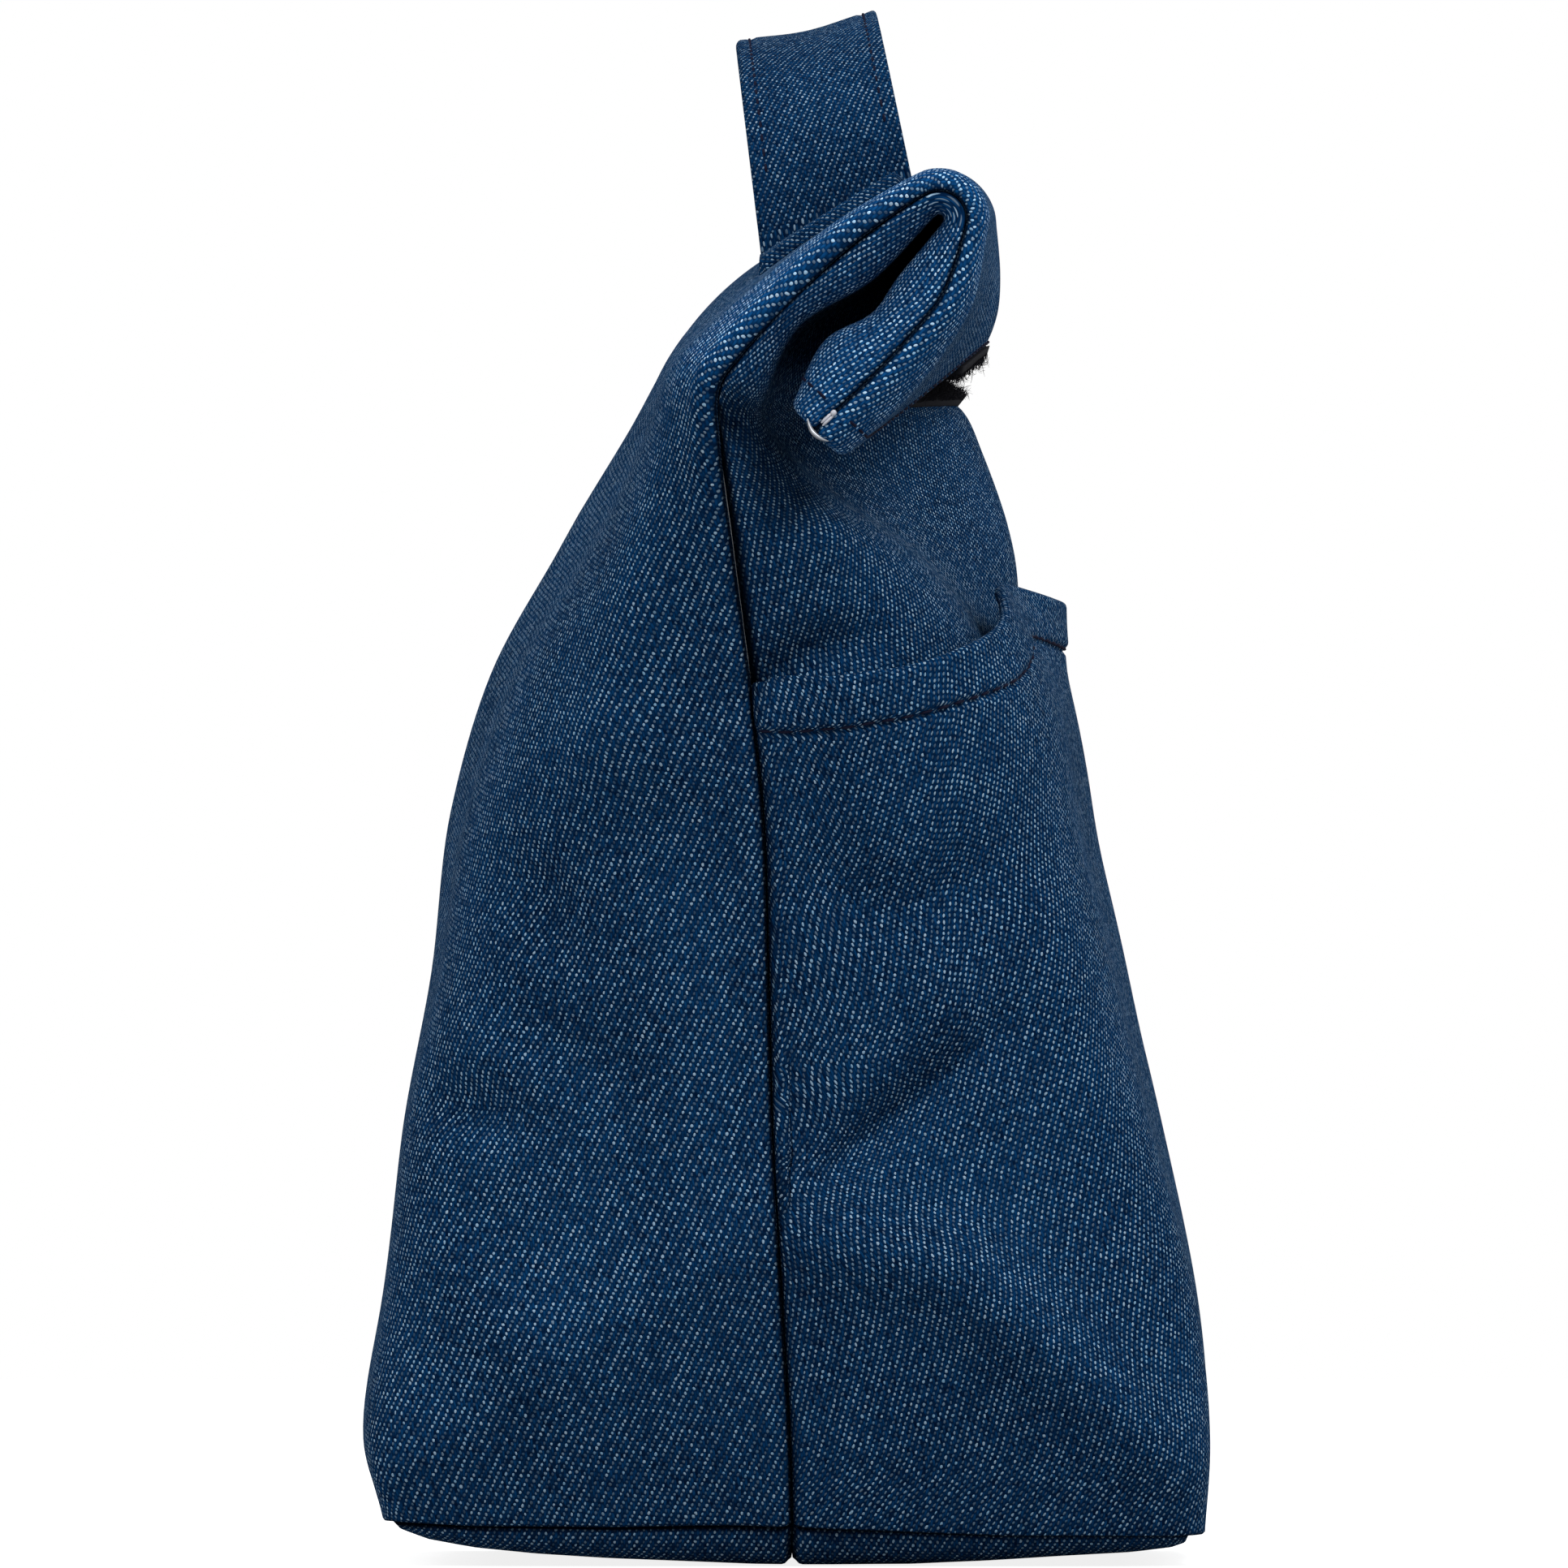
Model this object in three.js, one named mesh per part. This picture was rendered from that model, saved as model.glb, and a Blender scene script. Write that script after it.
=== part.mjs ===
// Insulated fold-over lunch bag in denim, standing upright with its top folded down over the front.
// Millimetres. +X is the width, the front faces -Y, +Z is up, the origin is the middle of the base on the floor.
// In the side profile u is the distance towards the front, so y = -u.
import * as THREE from 'three';

// Driving dimensions of the whole bag
const BASE_WIDTH = 210;
const BASE_DEPTH = 148;
const BAG_HEIGHT = 246;
const TOP_WIDTH = 296;
const CORNER_SEAM_HEIGHT = 6.5;

// Plies of the padded wall, from the outside in
const DENIM = 0.9;
const FOAM = 1.8;
const LINING = 0.5;
const PLY_GAP = 0.3;

// Fold of the closed top
const CREASE_RADIUS = 0.8;
const CHANNEL = 0.5;
const CROWN_FULLNESS = 1;
const CROWN_SLACK = 0.8;

// Front pocket
const POCKET_SIDE_HEIGHT = 154.5;
const POCKET_FRONT_HEIGHT = 168.5;
const POCKET_GAPE = 5.2;
const POCKET_HEM = 8.6;

// Hook and loop closure
const TAPE_LENGTH = 84;
const TAPE_BACKING = 0.7;
const TAPE_PILE = 1;
const TAPE_CORNER = 10;
const TAPE_DROP = 1;
const TAPE_TURN = 4;
const TAPE_TIP = 0.6;

// Handle
const STRAP_WIDTH = 27;
const STRAP_THICKNESS = 2.2;
const HANDLE_SPAN = 124;
const HANDLE_RISE = 36.8;
const FOOT_LENGTH = 20;
const ROOT_HEIGHT = 11;
const ROOT_CLEARANCE = 3.3;
const ARCH_SHAPE = 0.75;
const STRAP_TILT = 12;

// Depths of the ply faces below the outer surface
const FOAM_TOP = DENIM + PLY_GAP;
const FOAM_BACK = FOAM_TOP + FOAM;
const LINING_TOP = FOAM_BACK + PLY_GAP;
const WALL = LINING_TOP + LINING;
const NECK_HALF = WALL + CHANNEL / 2;

// The side profile was drawn at this depth and height, and follows the real ones
const DRAWN_DEPTH = 148;
const DRAWN_HEIGHT = 246;
const DRAWN_MIDDLE = 0.5;
const across = (u) => ((u - DRAWN_MIDDLE) * BASE_DEPTH) / DRAWN_DEPTH;
const upward = (z) => (z * BAG_HEIGHT) / DRAWN_HEIGHT;
const degrees = THREE.MathUtils.degToRad;

const point = (u, z) => new THREE.Vector2(across(u), upward(z));
const polar = (centre, radius, angle) =>
  new THREE.Vector2(
    centre.x + radius * Math.cos(degrees(angle)),
    centre.y + radius * Math.sin(degrees(angle)),
  );

// Centre of the fold, seen from the side, and the radii of the seam and of the outer face round it
const CROWN_CENTRE = point(27.2, 236.5);
const SEAM_RADIUS = CREASE_RADIUS + NECK_HALF;
const CROWN_RADIUS = SEAM_RADIUS + NECK_HALF;
const CROWN_MID_RADIUS = CROWN_RADIUS + CROWN_FULLNESS;
const NECK_ANGLE = 124;
const NECK_MID_ANGLE = 116;
const FLAP_ANGLE = -20;
const FLAP_MID_ANGLE = -4;
const PIVOT_ANGLE = 50;
const FOLD_CORNER = 9;
const ROUND_CORNER = 2;

// A station of the body lists the side seam, the direction in which the back stands off from it, how far
// the back and the front stand off as shares of half the depth, the mid-width outlines of back and front,
// the half width as a share of the way from base to top, the length of the side corner along X, and how
// square that corner is
const STATION_VALUES = ['seam', 'turn', 'back', 'front', 'midBack', 'midFront', 'flare', 'corner', 'square'];
const BODY_STATIONS = [
  [[1.4, CORNER_SEAM_HEIGHT], 180, 0.94, 0.905, [-73.6, CORNER_SEAM_HEIGHT], [73, CORNER_SEAM_HEIGHT], 0, 22, 5],
  [[1, 22], 180, 0.955, 0.918, [-74.6, 21], [73.2, 22], 0.03, 26, 4.6],
  [[-0.4, 47], 180, 0.89, 0.9, [-71.3, 47], [71.4, 47], 0.07, 32, 4],
  [[-2, 75], 180, 0.815, 0.84, [-67.7, 75.4], [65.6, 75], 0.12, 40, 3.5],
  [[-2.8, 104], 180, 0.72, 0.75, [-61.9, 104], [58.4, 105], 0.19, 48, 3.1],
  [[-3.7, 132], 180, 0.65, 0.63, [-59.4, 132.6], [48.6, 132], 0.28, 56, 2.8],
  [[-6, 155], 178, 0.5, 0.57, [-52.3, 156.9], [42, 156], 0.39, 60, 2.5],
  [[-9, 178], 176, 0.27, 0.42, [-39.4, 179], [40.5, 178], 0.55, 52, 2.2],
  [[-11.4, 196], 165, 0.12, 0.17, [-28, 198.8], [35.3, 196], 0.7, 34, 2],
  [[-11.6, 206.5], 150, 0.07, 0.07, [-19.5, 214.6], [31.6, 204], 0.77, 22, 2],
  [[-8, 212], 138, 0.05, 0.045, [-12.3, 223.6], [24.5, 208.5], 0.82, 16, 2],
  [[0, 220.5], 131, 0.035, 0.02, [-3.7, 230.6], [20.6, 218], 0.89, 12, 2],
  [[11.5, 231.5], 127, 0.015, 0.005, [8, 236.6], [21.4, 228], 0.95, 9.5, 2],
];

// A station of the flap, from the fold down to the mouth
const FLAP_STATIONS = [
  [[27.9, 223.4], -30, 0.02, 0.02, [38.5, 228], [28.6, 229], 1, 9, 2],
  [[21.6, 215.3], -39, 0.035, 0.045, [38.2, 222], [28.4, 223.2], 1, 10, 2],
  [[15, 208.3], -42, 0.045, 0.05, [37.1, 218], [28, 218.6], 1, 10, 2],
  [[6.5, 200.3], -43, 0.045, 0.04, [35.8, 215.2], [27.8, 214.6], 1, 10, 2],
];

// Turns one station into the points that its rails run through
function placeStation(values) {
  const station = Object.fromEntries(STATION_VALUES.map((name, i) => [name, values[i]]));
  const seam = point(...station.seam);
  const halfDepth = BASE_DEPTH / 2;
  const standOff = (share) => NECK_HALF + share * halfDepth;
  return {
    seam,
    turn: station.turn,
    back: polar(seam, standOff(station.back), station.turn),
    front: polar(seam, standOff(station.front), station.turn + 180),
    midBack: point(...station.midBack),
    midFront: point(...station.midFront),
    halfWidth: THREE.MathUtils.lerp(BASE_WIDTH, TOP_WIDTH, station.flare) / 2,
    corner: station.corner,
    square: station.square,
  };
}

// A station on the fold, where every ply runs on an arc round the crown centre
function foldStation(share) {
  const angle = THREE.MathUtils.lerp(NECK_ANGLE, FLAP_ANGLE, share);
  const midAngle = THREE.MathUtils.lerp(NECK_MID_ANGLE, FLAP_MID_ANGLE, share);
  const fullness = CROWN_SLACK * share;
  return {
    seam: polar(CROWN_CENTRE, SEAM_RADIUS, angle),
    turn: angle,
    back: polar(CROWN_CENTRE, CROWN_RADIUS, angle),
    front: polar(CROWN_CENTRE, CREASE_RADIUS, angle),
    midBack: polar(CROWN_CENTRE, CROWN_MID_RADIUS + fullness, midAngle),
    midFront: polar(CROWN_CENTRE, CREASE_RADIUS, midAngle),
    halfWidth: TOP_WIDTH / 2,
    corner: FOLD_CORNER,
    square: ROUND_CORNER,
  };
}

// The tube of the bag from the corner seam to the mouth, as smooth rails through its stations
const BODY_ROWS = BODY_STATIONS.length;
const FOLD_STEPS = 6;
const FOLD_START = BODY_ROWS;
const FOLD_END = BODY_ROWS + FOLD_STEPS;
const MOUTH = FOLD_END + FLAP_STATIONS.length;
const stations = [
  ...BODY_STATIONS.map(placeStation),
  ...Array.from({ length: FOLD_STEPS + 1 }, (_, i) => foldStation(i / FOLD_STEPS)),
  ...FLAP_STATIONS.map(placeStation),
];

function railThrough(name) {
  const curve = new THREE.CatmullRomCurve3(
    stations.map((station) => new THREE.Vector3(station[name].x, station[name].y, 0)),
    false,
    'centripetal',
  );
  return (row) => {
    const at = curve.getPoint(row / MOUTH);
    return new THREE.Vector2(at.x, at.y);
  };
}

function valueThrough(name) {
  const curve = new THREE.SplineCurve(stations.map((station, i) => new THREE.Vector2(i, station[name])));
  return (row) => curve.getPoint(row / MOUTH).y;
}

const rails = Object.fromEntries(
  ['seam', 'back', 'front', 'midBack', 'midFront'].map((name) => [name, railThrough(name)]),
);
const halfWidthAt = valueThrough('halfWidth');
const cornerAt = valueThrough('corner');
const squareAt = valueThrough('square');

// The point of a rail moved inwards by depth. The back half has its outside on the left of the path
function insetRail(name, row, depth) {
  const step = 0.05;
  const low = rails[name](Math.max(row - step, 0));
  const high = rails[name](Math.min(row + step, MOUTH));
  const along = high.sub(low).normalize();
  const side = name === 'back' || name === 'midBack' ? 1 : -1;
  const outward = new THREE.Vector2(-along.y, along.x).multiplyScalar(side);
  return rails[name](row).addScaledVector(outward, -depth);
}

// Columns across one half of the tube: the side corner by its angle, then the middle by its share of width
const CORNER_ANGLES = [0, 16, 38, 60, 78, 90];
const TAPE_SHARE = TAPE_LENGTH / (TOP_WIDTH - 2 * TAPE_CORNER);
const MIDDLE_SHARES = [-0.64, -TAPE_SHARE, 0, TAPE_SHARE, 0.64];
const COLUMNS = [
  ...CORNER_ANGLES.map((angle) => ({ angle, side: -1 })),
  ...MIDDLE_SHARES.map((share) => ({ share })),
  ...[...CORNER_ANGLES].reverse().map((angle) => ({ angle, side: 1 })),
];

// A point of one half of the tube at a row, a column and a depth below the outer surface
function tubePoint(half, row, column, depth) {
  const [edgeName, midName] = half === 'back' ? ['back', 'midBack'] : ['front', 'midFront'];
  const halfWidth = halfWidthAt(row);
  const corner = Math.min(cornerAt(row), halfWidth - 1);
  const edge = insetRail(edgeName, row, depth);
  const seam = rails.seam(row);
  const apart = edge.clone().sub(seam).normalize();
  seam.addScaledVector(apart, PLY_GAP / 2);
  if (column.angle !== undefined) {
    const power = 2 / squareAt(row);
    const outwards = Math.cos(degrees(column.angle)) ** power * (column.angle < 90 ? 1 : 0);
    const onwards = Math.sin(degrees(column.angle)) ** power;
    const x = halfWidth - corner + (corner - depth) * outwards;
    const place = seam.lerp(edge, onwards);
    return new THREE.Vector3(column.side * x, -place.x, place.y);
  }
  const middle = insetRail(midName, row, depth);
  const bulge = Math.cos((Math.PI / 2) * column.share) ** 2;
  const place = edge.lerp(middle, bulge);
  return new THREE.Vector3(column.share * (halfWidth - corner), -place.x, place.y);
}

// A closed solid between an outer and an inner grid of points
function solidBetween(outer, inner) {
  const rows = outer.length;
  const columns = outer[0].length;
  const positions = [...outer.flat(), ...inner.flat()].flatMap((p) => [p.x, p.y, p.z]);
  const back = rows * columns;
  const at = (row, column) => row * columns + column;
  const indices = [];
  const quad = (a, b, c, d) => indices.push(a, b, c, a, c, d);
  for (let row = 0; row + 1 < rows; row += 1) {
    for (let column = 0; column + 1 < columns; column += 1) {
      const [a, b, c, d] = [at(row, column), at(row, column + 1), at(row + 1, column + 1), at(row + 1, column)];
      quad(a, b, c, d);
      quad(a + back, d + back, c + back, b + back);
    }
  }
  const rim = [];
  for (let column = 0; column + 1 < columns; column += 1) rim.push(at(0, column));
  for (let row = 0; row + 1 < rows; row += 1) rim.push(at(row, columns - 1));
  for (let column = columns - 1; column > 0; column -= 1) rim.push(at(rows - 1, column));
  for (let row = rows - 1; row > 0; row -= 1) rim.push(at(row, 0));
  rim.forEach((here, i) => {
    const next = rim[(i + 1) % rim.length];
    quad(next, here, here + back, next + back);
  });
  const geometry = new THREE.BufferGeometry();
  geometry.setAttribute('position', new THREE.Float32BufferAttribute(positions, 3));
  geometry.setIndex(signedVolume(positions, indices) < 0 ? [...indices].reverse() : indices);
  geometry.computeVertexNormals();
  return geometry;
}

function signedVolume(positions, indices) {
  const corner = (i) => new THREE.Vector3(positions[3 * i], positions[3 * i + 1], positions[3 * i + 2]);
  let volume = 0;
  for (let i = 0; i < indices.length; i += 3) {
    const [a, b, c] = [corner(indices[i]), corner(indices[i + 1]), corner(indices[i + 2])];
    volume += a.dot(b.cross(c)) / 6;
  }
  return volume;
}

function gridOf(rows, columns, make) {
  return rows.map((row) => columns.map((column) => make(row, column)));
}

// One ply of one half of the tube, between two rows and two depths
function ply(half, rows, topDepth, backDepth) {
  const face = (depth) => gridOf(rows, COLUMNS, (row, column) => tubePoint(half, row, column, depth));
  return solidBetween(face(topDepth), face(backDepth));
}

const span = (first, last, steps) =>
  Array.from({ length: steps + 1 }, (_, i) => first + ((last - first) * i) / steps);

// Materials
const denim = (shade) => new THREE.MeshStandardMaterial({ color: shade, roughness: 0.9, metalness: 0 });
const DENIM_CLOTH = denim('#1f3a5f');
const STRAP_CLOTH = denim('#21395b');
const FOAM_SHEET = denim('#d9dbd8');
const LINING_SHEET = new THREE.MeshStandardMaterial({ color: '#c9ccd1', roughness: 0.45, metalness: 0.3 });
const TAPE_CLOTH = denim('#16161a');
const PILE_CLOTH = denim('#1c1c1f');

const bag = new THREE.Group();
const flap = new THREE.Group();
const handle = new THREE.Group();
bag.add(flap, handle);

function addPiece(group, name, geometry, material) {
  const place = group.position;
  const mesh = new THREE.Mesh(geometry.translate(-place.x, -place.y, -place.z), material);
  mesh.name = name;
  group.add(mesh);
}

// The flap turns about a line inside the cloth of the crown
const FLAP_PIVOT = polar(CROWN_CENTRE, CROWN_RADIUS, PIVOT_ANGLE);
flap.position.set(0, -FLAP_PIVOT.x, FLAP_PIVOT.y);

// Walls of the body, the fold and the flap, each of three plies in two halves
const SPLIT = 0.04;
const bodyRows = [...span(0, BODY_ROWS - 1, BODY_ROWS - 1), FOLD_START - SPLIT];
const foldRows = span(FOLD_START, FOLD_END, FOLD_STEPS);
const flapRows = [FOLD_END + SPLIT * 2, ...span(FOLD_END + 1, MOUTH, FLAP_STATIONS.length - 1)];
const PLIES = [
  { name: 'panel', top: 0, back: DENIM, material: DENIM_CLOTH },
  { name: 'insulation', top: FOAM_TOP, back: FOAM_BACK, material: FOAM_SHEET },
  { name: 'lining', top: LINING_TOP, back: WALL, material: LINING_SHEET },
];
for (const half of ['back', 'front']) {
  for (const layer of PLIES) {
    addPiece(bag, `${half}_${layer.name}`, ply(half, bodyRows, layer.top, layer.back), layer.material);
    addPiece(flap, `fold_${half}_${layer.name}`, ply(half, foldRows, layer.top, layer.back), layer.material);
    addPiece(flap, `flap_${half}_${layer.name}`, ply(half, flapRows, layer.top, layer.back), layer.material);
  }
}

// The base hangs from the corner seam as a shallow dish that touches the floor along its middle
const RIM_TOP = CORNER_SEAM_HEIGHT - PLY_GAP;
const RIM_ROLL = 8;
const BASE_CLEARANCE = 0.2;
const BASE_RISE = [[0, 0], [0.3, 0], [0.48, 0.6], [0.68, 1.6], [0.86, 2.9], [0.96, 4.4], [1, RIM_TOP]];
const BASE_SHARES = BASE_RISE.map(([share]) => share);

function baseRise(share) {
  const next = BASE_RISE.findIndex(([at]) => at >= share);
  if (next <= 0) return BASE_RISE[0][1];
  const [low, high] = [BASE_RISE[next - 1], BASE_RISE[next]];
  return THREE.MathUtils.lerp(low[1], high[1], (share - low[0]) / (high[0] - low[0]));
}

// A point of the base: share 0 is the bottom seam and 1 the back or front edge
function basePoint(direction, share, xShare, depth) {
  const station = stations[0];
  const reach = Math.abs((direction < 0 ? station.back : station.front).x - station.seam.x) - depth;
  const u = station.seam.x + direction * (PLY_GAP / 2 + (reach - PLY_GAP / 2) * share);
  const flat = station.halfWidth - station.corner;
  const round = (station.corner - depth) * (1 - share ** station.square) ** (1 / station.square);
  const edge = flat + round;
  const x = edge * xShare;
  const fromEdge = Math.max(0, 1 - (edge - Math.abs(x)) / RIM_ROLL);
  const lowest = depth + (depth > DENIM ? BASE_CLEARANCE : 0);
  const floor = lowest + baseRise(share) * (1 - lowest / RIM_TOP);
  const z = floor + (RIM_TOP - floor) * fromEdge ** 2;
  return new THREE.Vector3(x, -u, z);
}

const baseColumns = [-1, -0.985, -0.96, -0.925, -0.6, 0, 0.6, 0.925, 0.96, 0.985, 1];

function baseHalf(direction, topDepth, backDepth) {
  const face = (depth) =>
    gridOf(BASE_SHARES, baseColumns, (share, xShare) => basePoint(direction, share, xShare, depth));
  return solidBetween(face(topDepth), face(backDepth));
}

function wholeBase(topDepth, backDepth) {
  const rows = [
    ...[...BASE_SHARES].reverse().map((share) => [-1, share]),
    ...BASE_SHARES.slice(1).map((share) => [1, share]),
  ];
  const face = (depth) =>
    gridOf(rows, baseColumns, ([direction, share], xShare) => basePoint(direction, share, xShare, depth));
  return solidBetween(face(topDepth), face(backDepth));
}

addPiece(bag, 'base_outer_back', baseHalf(-1, 0, DENIM), DENIM_CLOTH);
addPiece(bag, 'base_outer_front', baseHalf(1, 0, DENIM), DENIM_CLOTH);
addPiece(bag, 'base_insulation', wholeBase(FOAM_TOP + BASE_CLEARANCE, FOAM_BACK), FOAM_SHEET);
addPiece(bag, 'base_lining', wholeBase(LINING_TOP, WALL), LINING_SHEET);

// The pocket covers the front half up to a hemmed edge that rises and gapes towards the front
const rowAtHeight = (height) => {
  let [low, high] = [0, BODY_ROWS - 3];
  for (let i = 0; i < 30; i += 1) {
    const middle = (low + high) / 2;
    if (rails.midFront(middle).y < height) low = middle;
    else high = middle;
  }
  return low;
};
const columnBulge = (column) => {
  if (column.angle !== undefined) return 0.5 * Math.sin(degrees(column.angle)) ** 2;
  return 0.5 + 0.5 * Math.cos((Math.PI / 2) * column.share) ** 0.7;
};
const GAPE_START = upward(88);
const GAPE_FULL = upward(136);

function pocketPoint(column, share, depth) {
  const bulge = columnBulge(column);
  const top = rowAtHeight(THREE.MathUtils.lerp(upward(POCKET_SIDE_HEIGHT), upward(POCKET_FRONT_HEIGHT), bulge));
  const row = top * share;
  const height = rails.midFront(row).y;
  const gape = POCKET_GAPE * bulge * THREE.MathUtils.smoothstep(height, GAPE_START, GAPE_FULL);
  return tubePoint('front', row, column, -(PLY_GAP + gape + depth));
}

const HEM_SHARE = 1 - POCKET_HEM / POCKET_FRONT_HEIGHT;
const pocketRows = [...span(0, HEM_SHARE, 7), 1];

function pocketPly(rows, near, far) {
  const face = (depth) => gridOf(rows, COLUMNS, (share, column) => pocketPoint(column, share, depth));
  return solidBetween(face(far), face(near));
}

addPiece(bag, 'front_pocket', pocketPly(pocketRows, PLY_GAP + DENIM, PLY_GAP + DENIM * 2), DENIM_CLOTH);
addPiece(bag, 'pocket_hem', pocketPly([HEM_SHARE, 1], 0, DENIM), DENIM_CLOTH);

// Hook tape on the shoulder of the body and loop tape under the mouth of the flap. A tape follows the cloth
// it is sewn on, so its path down the cloth is worked out for each place across its length
function tape(pathAt, near, far) {
  const paths = [-TAPE_SHARE, 0, TAPE_SHARE].map(pathAt);
  const face = (lift) =>
    paths[0].map((_, i) =>
      paths.map((path) => {
        const along = path[Math.min(i + 1, path.length - 1)].clone().sub(path[Math.max(i - 1, 0)]).normalize();
        const away = new THREE.Vector3(0, along.z, -along.y).multiplyScalar(-lift);
        return path[i].clone().add(away);
      }),
    );
  return solidBetween(face(far), face(near));
}

// A point lifted off the facets of the cloth, which are flat between whole rows
function onCloth(half, row, share, lift) {
  const low = Math.floor(row);
  const place = tubePoint(half, low, { share }, -lift);
  return row > low ? place.lerp(tubePoint(half, low + 1, { share }, -lift), row - low) : place;
}

const TAPE_LIFT = 2 * PLY_GAP;
const PILE_NEAR = TAPE_BACKING + PLY_GAP;
const PILE_FAR = PILE_NEAR + TAPE_PILE;
const SHOULDER_ROWS = [0, 0.5, 1, 1.2].map((after) => BODY_ROWS - 4 + after);
const shoulderPath = (share) => SHOULDER_ROWS.map((row) => onCloth('front', row, share, TAPE_LIFT));
addPiece(bag, 'body_tape', tape(shoulderPath, 0, TAPE_BACKING), TAPE_CLOTH);
addPiece(bag, 'body_tape_pile', tape(shoulderPath, PILE_NEAR, PILE_FAR), PILE_CLOTH);

// The flap tape hangs past the mouth, and its free edge turns forwards under it
const FLAP_TAPE_ROWS = [1.6, 2, 3, 4].map((after) => FOLD_END + after);
function flapTapePath(share) {
  const sewn = FLAP_TAPE_ROWS.map((row) => onCloth('front', row, share, TAPE_LIFT));
  const front = sewn.at(-1);
  const back = tubePoint('back', MOUTH, { share }, 0);
  return [
    ...sewn,
    new THREE.Vector3(front.x, front.y - TAPE_BACKING, front.z - TAPE_DROP),
    new THREE.Vector3(back.x, back.y + TAPE_TURN, back.z - TAPE_DROP * 1.8),
    new THREE.Vector3(back.x, back.y - TAPE_TIP, back.z - TAPE_DROP * 1.3),
  ];
}
addPiece(flap, 'flap_tape', tape(flapTapePath, 0, TAPE_BACKING), TAPE_CLOTH);
addPiece(flap, 'flap_tape_pile', tape(flapTapePath, PILE_NEAR, PILE_FAR), PILE_CLOTH);

// The handle stands on the sloping top: a flat strap in an arch, on two feet turned outwards
const STRAP_BACK_FOOT = point(-4.1, 231.6);
const STRAP_LEAN = point(-4.6, 38).sub(point(0, 0));
const STRAP_LEG = STRAP_LEAN.y;
const FOOT_SPREAD = 2.8;
const strapSlope = point(22.4, 245).sub(STRAP_BACK_FOOT).normalize();
const STRAP_FRONT_FOOT = STRAP_BACK_FOOT.clone().addScaledVector(strapSlope, STRAP_WIDTH + FOOT_SPREAD);
const strapTop = polar(new THREE.Vector2(0, 0), 1, STRAP_TILT);
const HANDLE_PIVOT = STRAP_BACK_FOOT.clone().lerp(STRAP_FRONT_FOOT, 0.5);
handle.position.set(0, -HANDLE_PIVOT.x, HANDLE_PIVOT.y);

// A point of the strap: along 0 to 1 from foot to foot, width 0 at the back edge, lift off its middle
function strapPoint(along, width, lift) {
  const angle = Math.PI * along;
  const arch = Math.sin(angle) ** ARCH_SHAPE;
  const rise = (HANDLE_RISE / STRAP_LEG) * arch;
  const backEdge = STRAP_BACK_FOOT.clone().addScaledVector(STRAP_LEAN, rise);
  const topEdge = STRAP_BACK_FOOT.clone().add(STRAP_LEAN).addScaledVector(strapTop, STRAP_WIDTH - 1.5);
  const frontEdge = STRAP_FRONT_FOOT.clone().lerp(topEdge, rise);
  const place = backEdge.lerp(frontEdge, width);
  const bow = Math.sign(Math.cos(angle)) * Math.abs(Math.cos(angle)) ** 0.8;
  const x = (-HANDLE_SPAN / 2) * bow;
  const outX = -Math.cos(angle);
  const outZ = Math.sin(angle) ** 1.2;
  return new THREE.Vector3(x + outX * lift, -place.x, place.y + outZ * lift);
}

function strapPiece(first, last, steps) {
  const face = (lift) =>
    gridOf(span(first, last, steps), span(0, 1, 3), (along, width) => strapPoint(along, width, lift));
  return solidBetween(face(STRAP_THICKNESS / 2), face(-STRAP_THICKNESS / 2));
}

// Share of the arch at which a leg has climbed to the given height above its foot
const alongAtRise = (height) => Math.asin((height / HANDLE_RISE) ** (1 / ARCH_SHAPE)) / Math.PI;
const rootTop = alongAtRise(ROOT_HEIGHT);
const rootBase = alongAtRise(ROOT_CLEARANCE);
const ROOT_SPLIT = 0.004;
addPiece(handle, 'handle_strap', strapPiece(rootTop + ROOT_SPLIT, 1 - rootTop - ROOT_SPLIT, 16), STRAP_CLOTH);
addPiece(handle, 'handle_root_left', strapPiece(rootBase, rootTop, 2), STRAP_CLOTH);
addPiece(handle, 'handle_root_right', strapPiece(1 - rootTop, 1 - rootBase, 2), STRAP_CLOTH);

// Each foot lies on the back panel just below the crown, turned outwards
const topRowAt = (u) => {
  let [low, high] = [BODY_ROWS - 4, FOLD_START];
  for (let i = 0; i < 30; i += 1) {
    const middle = (low + high) / 2;
    if (rails.midBack(middle).x < u) low = middle;
    else high = middle;
  }
  return low;
};
const footRows = span(topRowAt(STRAP_BACK_FOOT.x), topRowAt(STRAP_FRONT_FOOT.x - 1), 4);

function foot(side) {
  const face = (lift) =>
    gridOf(footRows, span(HANDLE_SPAN / 2 - 1, HANDLE_SPAN / 2 + FOOT_LENGTH, 3), (row, x) => {
      const share = (side * x) / (halfWidthAt(row) - cornerAt(row));
      return tubePoint('back', row, { share }, -lift);
    });
  return solidBetween(face(PLY_GAP + STRAP_THICKNESS), face(PLY_GAP));
}
addPiece(bag, 'handle_foot_left', foot(-1), STRAP_CLOTH);
addPiece(bag, 'handle_foot_right', foot(1), STRAP_CLOTH);

export default bag;
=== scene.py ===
# %% [markdown]
# # A folded denim cooler bag
#
# The bag stands upright, with its padded top folded down over the front. Every visible piece is built
# here from the side profile of the solid model: two halves of a cloth tube, joined at the side seams.
# It could be modelled by hand in edit mode, but a profile worked out in numbers lets the cloth, the
# lining and the weave follow each other. Lengths in the script are millimetres. A mesh is scaled to
# metres when it is made.

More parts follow.
